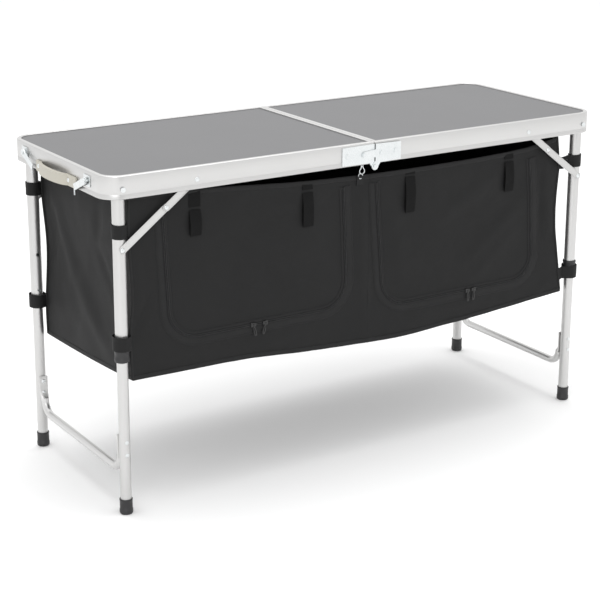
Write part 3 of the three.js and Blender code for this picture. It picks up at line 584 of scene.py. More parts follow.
# ---------------------------------------------------------------- knee braces
# Two pressed aluminium links per leg, each a shallow channel with turned edges, riveted
# to the rim, to each other and to the leg.
LINK_WIDTH = 15 * MM
LINK_THICKNESS = 1.6 * MM
LINK_PITCH = 2 * MM
LOWER_LINK_Y = 210.9 * MM
RIM_FACE_Y = 220 * MM
table_joints = {joint["name"]: joint for joint in frame["joints"]}


def pressed_link(name, start, finish, face_y, outward, body, stands_for):
    """A flat link with round ends and shallow turned edges between two rivet centres."""
    along = (finish - start).normalized()
    across = Vector((-along.z, 0, along.x))
    half = LINK_WIDTH / 2
    thick = LINK_THICKNESS
    outline = []
    for i in range(17):
        turn = -math.pi / 2 + math.pi * i / 16
        outline.append(finish + along * (half * math.cos(turn)) + across * (half * math.sin(turn)))
    for i in range(17):
        turn = math.pi / 2 + math.pi * i / 16
        outline.append(start + along * (half * math.cos(turn)) + across * (half * math.sin(turn)))
    spine = []
    for p in outline:
        reach = min(max((p - start).dot(along), 0), (finish - start).length)
        spine.append(start + along * reach)

    def ring(share, y):
        return [
            Vector((s.x + (p.x - s.x) * share, y, s.z + (p.z - s.z) * share)) for p, s in zip(outline, spine)
        ]

    inner_y = face_y
    outer_y = face_y + outward * thick
    low_y = outer_y - outward * 0.7 * MM
    loops = [
        ring(0.02, inner_y), ring(0.97, inner_y), ring(1, inner_y + outward * 0.3 * MM),
        ring(1, outer_y - outward * 0.3 * MM), ring(0.96, outer_y), ring(0.80, outer_y), ring(0.72, low_y),
        ring(0.02, low_y),
    ]
    return make_piece(name, *rings(loops), aluminium_x, body, "aluminium", stands_for)


for end, side in (("left", -1), ("right", 1)):
    for row, face in (("front", -1), ("rear", 1)):
        leg = f"{row}_{end}"
        rim_rivet = Vector(table_joints[f"{leg}_upper_link_turn"]["pos_m"])
        leg_rivet = Vector(table_joints[f"{leg}_lower_link_turn"]["pos_m"])
        rim_rivet.y = leg_rivet.y = 0
        span = (rim_rivet - leg_rivet).length
        spare = abs(rim_rivet.x - leg_rivet.x) - abs(rim_rivet.z - leg_rivet.z)
        knee = leg_rivet + (rim_rivet - leg_rivet) * ((span + spare) / 2 / span)
        lower_y = face * LOWER_LINK_Y
        upper_y = lower_y + face * LINK_PITCH
        pressed_link(
            f"{leg}_brace_lower", leg_rivet, knee, lower_y, face, f"{leg}_lower_link",
            [f"{leg}_brace_lower_link"],
        )
        pressed_link(
            f"{leg}_brace_upper", rim_rivet, knee, upper_y, face, f"{leg}_upper_link",
            [f"{leg}_brace_upper_link"],
        )
        domed_rivet(
            f"{leg}_knee_rivet", (knee.x, upper_y + face * 1 * MM, knee.z), (0, face, 0), 4.6 * MM, 2 * MM,
            zinc, f"{leg}_upper_link", "zinc_plate",
        )
        domed_rivet(
            f"{leg}_brace_leg_rivet", (leg_rivet.x, lower_y + face * 1 * MM, leg_rivet.z), (0, face, 0),
            4.8 * MM, 2.4 * MM, zinc, f"{leg}_lower_link", "zinc_plate",
        )
        domed_rivet(
            f"{leg}_brace_rim_rivet", (rim_rivet.x, face * RIM_FACE_Y, rim_rivet.z), (0, face, 0),
            4.8 * MM, 2 * MM, zinc, f"{leg}_upper_link", "zinc_plate",
        )


# ---------------------------------------------------------------- organiser cloth
# Each half of the table hangs a bag sewn from black coated oxford polyester, with one shelf.
# The cloth is slack: its hems sag between the legs, and soft folds run from where it is held.
oxford, nodes, links, shader, place = finish_nodes("black_oxford_cloth")
shader.inputs["Sheen Weight"].default_value = 0.02
shader.inputs["Sheen Roughness"].default_value = 0.45
shader.inputs["Specular IOR Level"].default_value = 0.28
split = nodes.new("ShaderNodeSeparateXYZ")
across = nodes.new("ShaderNodeMath")
across.operation = "ADD"
thread_place = nodes.new("ShaderNodeCombineXYZ")
warp = nodes.new("ShaderNodeTexWave")
warp.bands_direction = "X"
weft = nodes.new("ShaderNodeTexWave")
weft.bands_direction = "Y"
for threads in (warp, weft):
    threads.inputs["Scale"].default_value = 330
    threads.inputs["Distortion"].default_value = 0.6
weave = nodes.new("ShaderNodeMath")
weave.operation = "MULTIPLY"
weave_bump = nodes.new("ShaderNodeBump")
weave_bump.inputs["Strength"].default_value = 0.35
weave_bump.inputs["Distance"].default_value = 0.0004
crease = nodes.new("ShaderNodeTexNoise")
crease.inputs["Scale"].default_value = 34
crease.inputs["Detail"].default_value = 5
crease_bump = nodes.new("ShaderNodeBump")
crease_bump.inputs["Strength"].default_value = 0.22
crease_bump.inputs["Distance"].default_value = 0.003
wear = nodes.new("ShaderNodeTexNoise")
wear.inputs["Scale"].default_value = 7
wear.inputs["Detail"].default_value = 6
dye = nodes.new("ShaderNodeMix")
dye.data_type = "RGBA"
dye.inputs["A"].default_value = (0.0066, 0.0066, 0.0068, 1)
dye.inputs["B"].default_value = (0.0098, 0.0098, 0.0100, 1)
cloth_rough = nodes.new("ShaderNodeMapRange")
cloth_rough.inputs["To Min"].default_value = 0.62
cloth_rough.inputs["To Max"].default_value = 0.82
links.new(place, split.inputs["Vector"])
links.new(split.outputs["X"], across.inputs[0])
links.new(split.outputs["Y"], across.inputs[1])
links.new(across.outputs["Value"], thread_place.inputs["X"])
links.new(split.outputs["Z"], thread_place.inputs["Y"])
links.new(thread_place.outputs["Vector"], warp.inputs["Vector"])
links.new(thread_place.outputs["Vector"], weft.inputs["Vector"])
links.new(warp.outputs["Fac"], weave.inputs[0])
links.new(weft.outputs["Fac"], weave.inputs[1])
links.new(weave.outputs["Value"], weave_bump.inputs["Height"])
links.new(place, crease.inputs["Vector"])
links.new(crease.outputs["Fac"], crease_bump.inputs["Height"])
links.new(weave_bump.outputs["Normal"], crease_bump.inputs["Normal"])
links.new(crease_bump.outputs["Normal"], shader.inputs["Normal"])
links.new(place, wear.inputs["Vector"])
links.new(wear.outputs["Fac"], dye.inputs["Factor"])
links.new(dye.outputs["Result"], shader.inputs["Base Color"])
links.new(wear.outputs["Fac"], cloth_rough.inputs["Value"])
links.new(cloth_rough.outputs["Result"], shader.inputs["Roughness"])

CLOTH = 1.1 * MM
BAG_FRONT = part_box("left_compartment")[0].y
SEAM_EDGE = 0.15
FRONT_FOOT, FRONT_TOP = 274, 636
REAR_FOOT, REAR_TOP = 251, 634


def through(*stops):
    """A smooth curve through (place, value) stops, as a function of the place."""
    def slope(i):
        before, after = stops[max(i - 1, 0)], stops[min(i + 1, len(stops) - 1)]
        return (after[1] - before[1]) / (after[0] - before[0])

    def value(place):
        place = min(max(place, stops[0][0]), stops[-1][0])
        i = max(j for j in range(len(stops) - 1) if stops[j][0] <= place)
        (start, first), (end, last) = stops[i], stops[i + 1]
        run = end - start
        t = (place - start) / run
        rise = first * (1 + 2 * t) * (1 - t) ** 2 + last * t * t * (3 - 2 * t)
        return rise + run * (slope(i) * t * (1 - t) ** 2 + slope(i + 1) * t * t * (t - 1))

    return value


# Hem heights and corner edges, in millimetres from the seam and the floor.
front_top_hem = through(
    (-545, 636), (-425, 632), (-298, 623), (-176, 614), (0, 608), (207, 607), (343, 610), (419, 614),
    (498, 626), (540, 634),
)
front_bottom_hem = through((-545, 274), (-286, 269), (-167, 259), (0, 249), (91, 246), (303, 255), (534, 271))
rear_top_hem = through((-545, 634), (-280, 619), (0, 607), (280, 618), (545, 634))
rear_bottom_hem = through((-545, 251), (-300, 252), (0, 241), (300, 250), (545, 253))
front_edge = {
    "left": through((270, -546), (352, -549), (430, -543), (571, -548), (636, -545)),
    "right": through((270, 534), (313, 527), (412, 512), (490, 509), (573, 514), (636, 507)),
}
rear_edge = {
    "left": through((250, -544), (329, -548), (450, -541), (571, -547), (636, -544)),
    "right": through((250, 544), (325, 548), (450, 540), (571, 547), (636, 544)),
}
rear_edge_depth = through((250, 197), (352, 186), (463, 189), (571, 192), (636, 186))

# Soft folds as (start, end, half width, height), in millimetres along the cloth.
FRONT_FOLDS = (
    ((-375, 575), (-102, 438), 20, 3.6), ((-290, 494), (-81, 360), 17, 3.2),
    ((-426, 483), (-254, 366), 20, 2.6), ((-235, 583), (-168, 561), 12, 1.8),
    ((-531, 500), (-524, 405), 11, 3.4), ((-545, 352), (-505, 440), 10, -3.2),
    ((-545, 345), (-470, 300), 13, 2.4), ((-436, 352), (-385, 292), 11, 2.2),
    ((-505, 610), (-492, 380), 13, 2.0), ((-20, 600), (-6, 262), 15, 2.4),
    ((354, 572), (189, 493), 19, 2.6), ((422, 501), (256, 380), 19, 2.8),
    ((403, 445), (278, 342), 16, 2.2), ((476, 606), (494, 420), 10, 3.6),
    ((462, 560), (470, 400), 7, -2.6), ((530, 318), (462, 372), 11, 3.0),
    ((528, 308), (470, 284), 11, 2.4), ((505, 560), (470, 505), 9, 2.4),
    ((60, 560), (90, 380), 22, 1.8), ((120, 300), (300, 280), 12, 1.6),
    ((-330, 300), (-150, 290), 12, 1.4),
)
END_FOLDS = (
    ((150, 590), (60, 430), 20, 5.5), ((70, 440), (-115, 296), 24, 6.0),
    ((-190, 548), (-62, 516), 13, 5.0), ((-80, 610), (-60, 520), 18, -4.5),
    ((-188, 352), (-120, 410), 13, 4.5), ((-185, 345), (-110, 312), 12, 3.5),
    ((180, 329), (110, 350), 13, 4.0), ((120, 560), (170, 380), 14, -4.0),
    ((-60, 515), (-130, 420), 12, -3.5), ((20, 330), (90, 280), 14, -3.0),
)
REAR_FOLDS = (
    ((-400, 590), (-180, 400), 24, 3.4), ((-60, 590), (-40, 280), 20, 3.2),
    ((120, 580), (330, 420), 24, 3.2), ((-520, 330), (-400, 290), 16, 3.0),
    ((515, 330), (400, 400), 16, 3.0), ((300, 330), (60, 300), 18, 2.0),
)


def soft_folds(across, up, folds, seed):
    """How far the cloth stands out, in millimetres: its folds and the small creases between them."""
    out = sum(
        size * noise.noise(Vector((across / wave, up / wave, seed)))
        for wave, size in ((95, 1.5), (38, 0.8), (15, 0.25))
    )
    for start, end, width, height in folds:
        run = (end[0] - start[0], end[1] - start[1])
        share = ((across - start[0]) * run[0] + (up - start[1]) * run[1]) / (run[0] ** 2 + run[1] ** 2)
        share = min(max(share, 0), 1)
        away = math.hypot(across - start[0] - run[0] * share, up - start[1] - run[1] * share)
        out += height * math.exp(-((away / width) ** 2)) * (0.35 + 0.65 * math.sin(math.pi * share))
    return out


zip_foot = {end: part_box(f"{end}_door")[0].z / MM for end in ("left", "right")}


def front_point(u, z, lift=0.0):
    """A point of the front cloth, u from the seam and z from the floor in millimetres."""
    most = 4.0 + 3.2 * min(max((430 - abs(u)) / 60, 0), 1)
    out = 1.4 + 1.5 * soft_folds(u, z, FRONT_FOLDS, 3.1)
    out = most * math.tanh(out / most)
    calm = 0.85 * math.exp(-(((z - zip_foot["left" if u < 0 else "right"]) / 18) ** 2))
    out = out * (1 - calm) + 1.8 * calm
    return Vector((SEAM_X + u * MM, BAG_FRONT - (out + lift) * MM, z * MM))


def cloth_shell(rows, inward, around=False, thickness=CLOTH):
    """Points and faces of a thin closed shell on a grid of points, thick towards inward."""
    grid = np.array([[tuple(p) for p in row] for row in rows])
    down = np.gradient(grid, axis=0)
    along = np.roll(grid, -1, 1) - np.roll(grid, 1, 1) if around else np.gradient(grid, axis=1)
    normal = np.cross(down, along)
    normal /= np.linalg.norm(normal, axis=2, keepdims=True) + 1e-12
    if (normal @ np.array(inward)).sum() < 0:
        normal = -normal
    back = grid + normal * thickness
    tall, wide = grid.shape[:2]
    points = np.concatenate([grid.reshape(-1, 3), back.reshape(-1, 3)]).tolist()
    second = tall * wide
    faces = []
    for i in range(tall - 1):
        for j in range(wide if around else wide - 1):
            k = (j + 1) % wide
            a, b, c, d = i * wide + j, i * wide + k, (i + 1) * wide + k, (i + 1) * wide + j
            faces.append((a, b, c, d))
            faces.append((second + d, second + c, second + b, second + a))
    for row in (0, (tall - 1) * wide):
        for j in range(wide if around else wide - 1):
            a, b = row + j, row + (j + 1) % wide
            faces.append((a, b, second + b, second + a))
    if not around:
        for column in (0, wide - 1):
            for i in range(tall - 1):
                a, b = i * wide + column, (i + 1) * wide + column
                faces.append((a, b, second + b, second + a))
    return points, faces


def packs_flat(piece):
    """Gives a cloth piece a mesh of its own and returns it."""
    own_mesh(piece)
    return piece


DOOR_LEAN = {"left": 12, "right": 22}
DOOR_CORNER = 62
SIDE_STEPS, CORNER_STEPS, FOOT_STEPS, TOP_STEPS = 36, 16, 44, 56


def door_outline(end):
    """The edge of one door in millimetres, down its outer side, along the foot, up and back."""
    low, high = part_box(f"{end}_door")
    outer, inner = (low.x, high.x) if end == "left" else (high.x, low.x)
    outer, inner = (outer - SEAM_X) / MM, (inner - SEAM_X) / MM
    top, foot = high.z / MM, low.z / MM
    toward = math.copysign(1, inner - outer)
    middle_z = foot + DOOR_CORNER
    line = [(outer, top + (middle_z - top) * i / SIDE_STEPS) for i in range(SIDE_STEPS)]
    for i in range(CORNER_STEPS + 1):
        turn = math.pi / 2 * i / CORNER_STEPS
        line.append((
            outer + toward * DOOR_CORNER * (1 - math.cos(turn)), middle_z - DOOR_CORNER * math.sin(turn),
        ))
    start, finish = outer + toward * DOOR_CORNER, inner - toward * DOOR_CORNER
    line += [(start + (finish - start) * i / FOOT_STEPS, foot) for i in range(1, FOOT_STEPS)]
    for i in range(CORNER_STEPS + 1):
        turn = math.pi / 2 * i / CORNER_STEPS
        line.append((
            finish + toward * DOOR_CORNER * math.sin(turn), foot + DOOR_CORNER * (1 - math.cos(turn)),
        ))
    line += [(inner, middle_z + (top - middle_z) * i / SIDE_STEPS) for i in range(1, SIDE_STEPS + 1)]
    sides_and_foot = len(line)
    line += [(inner + (outer - inner) * i / TOP_STEPS, top) for i in range(1, TOP_STEPS)]
    leaned = [(u + DOOR_LEAN[end] * ((top - z) / (top - foot) - 0.5), z) for u, z in line]
    return leaned, sides_and_foot


def bag_border(end, count):
    """The border of one half of the front cloth, with as many points as the door's edge."""
    half_corner = CORNER_STEPS // 2
    first = SIDE_STEPS + half_corner
    second = first + FOOT_STEPS + 2 * half_corner
    third = second + FOOT_STEPS
    seam = -SEAM_EDGE if end == "left" else SEAM_EDGE
    outer_top = front_edge[end](FRONT_TOP)
    outer_foot = front_edge[end](FRONT_FOOT - 2)
    border = []
    for i in range(count):
        if i < first:
            top, foot = front_top_hem(outer_top), front_bottom_hem(outer_foot)
            z = top + (foot - top) * i / first
            border.append((front_edge[end](z), z))
        elif i < second:
            u = outer_foot + (seam - outer_foot) * (i - first) / (second - first)
            border.append((u, front_bottom_hem(u)))
        elif i < third:
            foot, top = front_bottom_hem(seam), front_top_hem(seam)
            border.append((seam, foot + (top - foot) * (i - second) / (third - second)))
        else:
            u = seam + (outer_top - seam) * (i - third) / (count - third)
            border.append((u, front_top_hem(u)))
    return border


for end, side in (("left", -1), ("right", 1)):
    outline, _ = door_outline(end)
    border = bag_border(end, len(outline))
    rows = []
    for i in range(14):
        share = i / 13
        rows.append([
            front_point(a[0] + (b[0] - a[0]) * share, a[1] + (b[1] - a[1]) * share)
            for a, b in zip(outline, border)
        ])
    packs_flat(make_piece(
        f"{end}_bag_front", *cloth_shell(rows, (0, 1, 0), around=True), oxford, f"{end}_top", "black_fabric",
        [f"{end}_compartment"], smooth_angle=60,
    ))

    rows = []
    for i in range(41):
        row = []
        for j in range(49):
            share = j / 48
            front_z = FRONT_FOOT + (FRONT_TOP - FRONT_FOOT) * i / 40
            rear_z = REAR_FOOT + (REAR_TOP - REAR_FOOT) * i / 40
            u_front = front_edge[end](front_z)
            start = front_point(u_front, front_z)
            finish = Vector((SEAM_X + rear_edge[end](rear_z) * MM, rear_edge_depth(rear_z) * MM, rear_z * MM))
            here = start.lerp(finish, share)
            out = soft_folds(here.y / MM, here.z / MM, END_FOLDS, 7.7) * math.sin(math.pi * share) ** 0.5
            here.x += side * out * MM
            here.z -= 7 * MM * math.sin(math.pi * share) * (1 if i > 20 else 0.4)
            row.append(here)
        rows.append(row)
    packs_flat(make_piece(
        f"{end}_bag_end", *cloth_shell(rows, (-side, 0, 0)), oxford, f"{end}_top", "black_fabric",
        smooth_angle=60,
    ))

    rows = []
    for i in range(41):
        row = []
        for j in range(61):
            z_share = i / 40
            edge_z = REAR_FOOT + (REAR_TOP - REAR_FOOT) * z_share
            u = side * SEAM_EDGE + (rear_edge[end](edge_z) - side * SEAM_EDGE) * j / 60
            z = rear_bottom_hem(u) + (rear_top_hem(u) - rear_bottom_hem(u)) * z_share
            out = soft_folds(u, z, REAR_FOLDS, 12.4)
            pull = max(0, (j / 60 - 0.8) / 0.2) ** 2
            y = (200 + min(out, 5)) * (1 - pull) + rear_edge_depth(edge_z) * pull
            row.append(Vector((SEAM_X + u * MM, y * MM, z * MM)))
        rows.append(row)
    packs_flat(make_piece(
        f"{end}_bag_rear", *cloth_shell(rows, (0, -1, 0)), oxford, f"{end}_top", "black_fabric",
        smooth_angle=60,
    ))

    shelf_z = (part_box("left_compartment")[0].z + 176 * MM) / MM
    for level, front_z, rear_z, sag in (("base", None, None, 5), ("shelf", shelf_z, shelf_z, 9)):
        rows = []
        for i in range(25):
            row = []
            for j in range(37):
                u = side * SEAM_EDGE + (side * 536 - side * SEAM_EDGE) * j / 36
                u = min(u, front_edge["right"](front_z or 272) - 4)
                share = i / 24
                near = front_z or front_bottom_hem(u) + 1.5
                far = rear_z or rear_bottom_hem(u) + 1.5
                drop = sag * math.sin(math.pi * share) * math.sin(math.pi * j / 36) ** 0.5
                ripple = 1.2 * noise.noise(Vector((u / 60, share * 5, 21.3))) * math.sin(math.pi * share)
                y = BAG_FRONT / MM + 1 + (rear_edge_depth(329) + 4 - BAG_FRONT / MM) * share
                z = near + (far - near) * share - drop + ripple
                row.append(Vector((SEAM_X + u * MM, y * MM, z * MM)))
            rows.append(row)
        packs_flat(make_piece(
            f"{end}_bag_{level}", *cloth_shell(rows, (0, 0, 1)), oxford, f"{end}_top", "black_fabric",
            smooth_angle=60,
        ))


# ---------------------------------------------------------------- organiser bindings
# Woven polyester tape is folded over the raw edges and sewn down: along the top and bottom
# hems and up each corner of the bag.
binding_tape, nodes, links, shader, place = finish_nodes("black_binding_tape")
tape_rib = nodes.new("ShaderNodeTexWave")
tape_rib.bands_direction = "DIAGONAL"
tape_rib.inputs["Scale"].default_value = 260
tape_rib.inputs["Distortion"].default_value = 0.4
tape_bump = nodes.new("ShaderNodeBump")
tape_bump.inputs["Strength"].default_value = 0.4
tape_bump.inputs["Distance"].default_value = 0.0004
tape_wear = nodes.new("ShaderNodeTexNoise")
tape_wear.inputs["Scale"].default_value = 40
tape_dye = nodes.new("ShaderNodeMix")
tape_dye.data_type = "RGBA"
tape_dye.inputs["A"].default_value = (0.0060, 0.0060, 0.0062, 1)
tape_dye.inputs["B"].default_value = (0.0105, 0.0105, 0.0108, 1)
shader.inputs["Roughness"].default_value = 0.7
shader.inputs["Sheen Weight"].default_value = 0.03
shader.inputs["Specular IOR Level"].default_value = 0.3
links.new(place, tape_rib.inputs["Vector"])
links.new(place, tape_wear.inputs["Vector"])
links.new(tape_rib.outputs["Fac"], tape_bump.inputs["Height"])
links.new(tape_bump.outputs["Normal"], shader.inputs["Normal"])
links.new(tape_wear.outputs["Fac"], tape_dye.inputs["Factor"])
links.new(tape_dye.outputs["Result"], shader.inputs["Base Color"])


CORNER_TAPE_LENGTH = 358


def edge_tape(route, half_height, half_thick):
    """A folded tape over a cloth edge: loops round a route that runs level or upright."""
    loops = []
    for i, here in enumerate(route):
        run = (route[min(i + 1, len(route) - 1)] - route[max(i - 1, 0)]).normalized()
        up = Vector((0, 0, 1)) if abs(run.z) < 0.7 else Vector((1, 0, 0))
        out = run.cross(up).normalized()
        up = out.cross(run).normalized()
        loops.append([
            here + out * (half_thick * math.copysign(abs(math.cos(a)) ** 0.6, math.cos(a)))
            + up * (half_height * math.copysign(abs(math.sin(a)) ** 0.6, math.sin(a)))
            for a in (2 * math.pi * (j + 0.5) / 10 for j in range(10))
        ])
    return loops


def level_route(end, side, front_hem, rear_hem):
    """The edge of the bag at one hem: along the front, round the end and along the rear."""
    corner_z = front_hem(side * 536)
    front_u = front_edge[end](corner_z)
    route = []
    for i in range(49):
        u = side * SEAM_EDGE + (front_u - side * SEAM_EDGE) * i / 48
        route.append(front_point(u, front_hem(u)))
    rear_corner_z = rear_hem(side * 545)
    rear_u = rear_edge[end](rear_corner_z)
    corner = Vector((SEAM_X + rear_u * MM, rear_edge_depth(rear_corner_z) * MM, rear_corner_z * MM))
    start = route[-1].copy()
    for i in range(1, 25):
        here = start.lerp(corner, i / 24)
        here.z -= 7 * MM * math.sin(math.pi * i / 24) * (1 if front_hem is front_top_hem else 0.4)
        route.append(here)
    for i in range(1, 49):
        u = rear_u + (side * SEAM_EDGE - rear_u) * i / 48
        pull = max(0, (1 - i / 48 - 0.8) / 0.2) ** 2
        y = 200 * (1 - pull) + rear_edge_depth(rear_corner_z) * pull
        route.append(Vector((SEAM_X + u * MM, y * MM, rear_hem(u) * MM)))
    return route


for end, side in (("left", -1), ("right", 1)):
    for hem, front_hem, rear_hem, shift in (
        ("top", front_top_hem, rear_top_hem, -3), ("bottom", front_bottom_hem, rear_bottom_hem, 2.5),
    ):
        route = [p + Vector((0, 0, shift * MM)) for p in level_route(end, side, front_hem, rear_hem)]
        packs_flat(make_piece(
            f"{end}_{hem}_hem_tape", *rings(edge_tape(route, 5 * MM, 1.5 * MM)), binding_tape, f"{end}_top",
            "black_fabric", smooth_angle=60,
        ))
    for row in ("front", "rear"):
        route = []
        for i in range(25):
            z = (FRONT_FOOT if row == "front" else REAR_FOOT) + CORNER_TAPE_LENGTH * i / 24
            if row == "front":
                route.append(front_point(front_edge[end](z), z, -0.6))
            else:
                route.append(Vector((SEAM_X + rear_edge[end](z) * MM, rear_edge_depth(z) * MM, z * MM)))
        packs_flat(make_piece(
            f"{row}_{end}_corner_tape", *rings(edge_tape(route, 2.6 * MM, 2.2 * MM)), binding_tape,
            f"{end}_top", "black_fabric", smooth_angle=60,
        ))


# ---------------------------------------------------------------- doors and their zips
# Each compartment closes with a flap of the same cloth. A coil zip runs down one side,
# along the foot and up the other, between a wide outer tape and a narrow inner one.
nylon_coil, nodes, links, shader, place = finish_nodes("black_nylon_coil")
shader.inputs["Base Color"].default_value = (0.02, 0.02, 0.021, 1)
coil_wear = nodes.new("ShaderNodeTexNoise")
coil_wear.inputs["Scale"].default_value = 300
coil_range = nodes.new("ShaderNodeMapRange")
coil_range.inputs["To Min"].default_value = 0.25
coil_range.inputs["To Max"].default_value = 0.45
links.new(place, coil_wear.inputs["Vector"])
links.new(coil_wear.outputs["Fac"], coil_range.inputs["Value"])
links.new(coil_range.outputs["Result"], shader.inputs["Roughness"])


def shifted(line, i, offset):
    """A point of the zip line moved sideways by offset, outward from the door."""
    before, after = line[max(i - 1, 0)], line[min(i + 1, len(line) - 1)]
    run = (after[0] - before[0], after[1] - before[1])
    length = math.hypot(*run)
    side_of = 1 if line[0][0] < line[-1][0] else -1
    return (
        line[i][0] + side_of * run[1] / length * offset, line[i][1] - side_of * run[0] / length * offset,
    )


def row_of_blocks(line, pitch, offset, size, lift):
    """Small blocks at an even pitch beside a line on the front cloth, as one mesh."""
    lengths = [0]
    for a, b in zip(line, line[1:]):
        lengths.append(lengths[-1] + math.hypot(b[0] - a[0], b[1] - a[1]))
    long, wide, tall = (value / 2 * MM for value in size)
    points, faces = [], []
    i = 0
    for step in range(1, int(lengths[-1] / pitch)):
        while lengths[i + 1] < step * pitch:
            i += 1
        share = (step * pitch - lengths[i]) / (lengths[i + 1] - lengths[i])
        a, b = shifted(line, i, offset), shifted(line, i + 1, offset)
        centre = front_point(a[0] + (b[0] - a[0]) * share, a[1] + (b[1] - a[1]) * share, lift)
        run = Vector((b[0] - a[0], 0, b[1] - a[1])).normalized()
        out = Vector((0, -1, 0))
        across_run = run.cross(out)
        base = len(points)
        for s, t, v in (
            (-1, -1, -1), (1, -1, -1), (1, 1, -1), (-1, 1, -1),
            (-0.8, -0.7, 1), (0.8, -0.7, 1), (0.8, 0.7, 1), (-0.8, 0.7, 1),
        ):
            points.append(centre + run * (s * long) + across_run * (t * wide) + out * (v * tall))
        for face in ((3, 2, 1, 0), (4, 5, 6, 7), (0, 1, 5, 4), (1, 2, 6, 5), (2, 3, 7, 6), (3, 0, 4, 7)):
            faces.append(tuple(base + k for k in face))
    return points, faces


for end, side in (("left", -1), ("right", 1)):
    outline, open_count = door_outline(end)
    middle_u = sum(u for u, _ in outline) / len(outline)
    middle_z = sum(z for _, z in outline) / len(outline)
    rows = []
    for i in range(27):
        share = 1 - 0.9995 * (i / 26) ** 1.15
        rows.append([
            front_point(middle_u + (u - middle_u) * share, middle_z + (z - middle_z) * share, 0.1)
            for u, z in outline
        ])
    door = packs_flat(make_piece(
        f"{end}_door_flap", *cloth_shell(rows, (0, 1, 0), around=True), oxford, f"{end}_door", "black_fabric",
        [f"{end}_door"], smooth_angle=60,
    ))
    low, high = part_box(f"{end}_door")

    zip_line = outline[:open_count]
    for part, body, offsets, lifts in (
        ("outer", f"{end}_top", (0.8, 1.4, 4, 11, 18, 19.4), (0.7, 1.1, 1.1, 1.2, 1.2, 0.2)),
        ("inner", f"{end}_door", (-0.8, -1.4, -4, -8, -10.4), (0.7, 1.1, 1.1, 1.0, 0.2)),
    ):
        rows = [
            [front_point(*shifted(zip_line, i, offset), lift) for offset, lift in zip(offsets, lifts)]
            for i in range(open_count)
        ]
        packs_flat(make_piece(
            f"{end}_zip_{part}_tape", *cloth_shell(rows, (0, 1, 0), thickness=0.6 * MM), binding_tape, body,
            "black_fabric", smooth_angle=50,
        ))
        sign = 1 if part == "outer" else -1
        packs_flat(make_piece(
            f"{end}_zip_{part}_teeth", *row_of_blocks(zip_line, 2.6, sign * 1.5, (1.5, 2.4, 1.5), 1.6),
            nylon_coil, body, "black_plastic", smooth_angle=30,
        ))
        for number, offset in enumerate((4.2, 17) if part == "outer" else (-4.2, -9)):
            packs_flat(make_piece(
                f"{end}_zip_{part}_stitches_{number + 1}",
                *row_of_blocks(zip_line, 3.4, offset, (2.4, 0.6, 0.5), 1.3), binding_tape, body,
                "black_fabric", smooth_angle=30,
            ))


# ---------------------------------------------------------------- zip sliders
# Two black painted sliders run on each zip. Each has a body over the teeth, a bridge and
# a long pull with a hole, and the pulls hang down together.
black_enamel, nodes, links, shader, place = finish_nodes("black_enamel")
shader.inputs["Base Color"].default_value = (0.012, 0.012, 0.012, 1)
chip = nodes.new("ShaderNodeTexNoise")
chip.inputs["Scale"].default_value = 220
chip_range = nodes.new("ShaderNodeMapRange")
chip_range.inputs["To Min"].default_value = 0.22
chip_range.inputs["To Max"].default_value = 0.4
links.new(place, chip.inputs["Vector"])
links.new(chip.outputs["Fac"], chip_range.inputs["Value"])
links.new(chip_range.outputs["Result"], shader.inputs["Roughness"])


def pressed_plate(outline, centre, across, up, thick):
    """A flat plate with softened edges from an outline of (across, up) points in millimetres."""
    out = across.cross(up).normalized()
    loops = []
    for share, depth in ((0.9, -0.5), (1, -0.3), (1, 0.3), (0.9, 0.5)):
        loops.append([
            centre + (across * a + up * b) * (share * MM) + out * (depth * thick * MM) for a, b in outline
        ])
    return rings(loops)


def holed_plate(outer, inner, centre, across, up, thick):
    """A flat plate with a hole: outer and inner outlines hold the same number of points."""
    out = across.cross(up).normalized()
    loops = []
    for (a, b), (c, d) in zip(outer, inner):
        edge, hole = centre + (across * a + up * b) * MM, centre + (across * c + up * d) * MM
        loops.append([
            edge + out * (0.35 * thick * MM), edge.lerp(hole, 0.15) + out * (0.5 * thick * MM),
            hole + out * (0.5 * thick * MM), hole - out * (0.5 * thick * MM),
            edge.lerp(hole, 0.15) - out * (0.5 * thick * MM), edge - out * (0.35 * thick * MM),
        ])
    return rings(loops, closed_along=True, caps=False)


def wire(route, radius, closed=False, sides=10):
    """A round wire along a route of points."""
    count = len(route)
    turns = [2 * math.pi * j / sides for j in range(sides)]
    loops = []
    for i, here in enumerate(route):
        before = route[(i - 1) % count] if closed else route[max(i - 1, 0)]
        after = route[(i + 1) % count] if closed else route[min(i + 1, count - 1)]
        run = (after - before).normalized()
        flat = Vector((0, 1, 0)) if abs(run.y) < 0.8 else Vector((1, 0, 0))
        a = run.cross(flat).normalized()
        b = run.cross(a).normalized()
        loops.append([here + a * (radius * math.cos(turn)) + b * (radius * math.sin(turn)) for turn in turns])
    return rings(loops, closed_along=closed, caps=not closed)


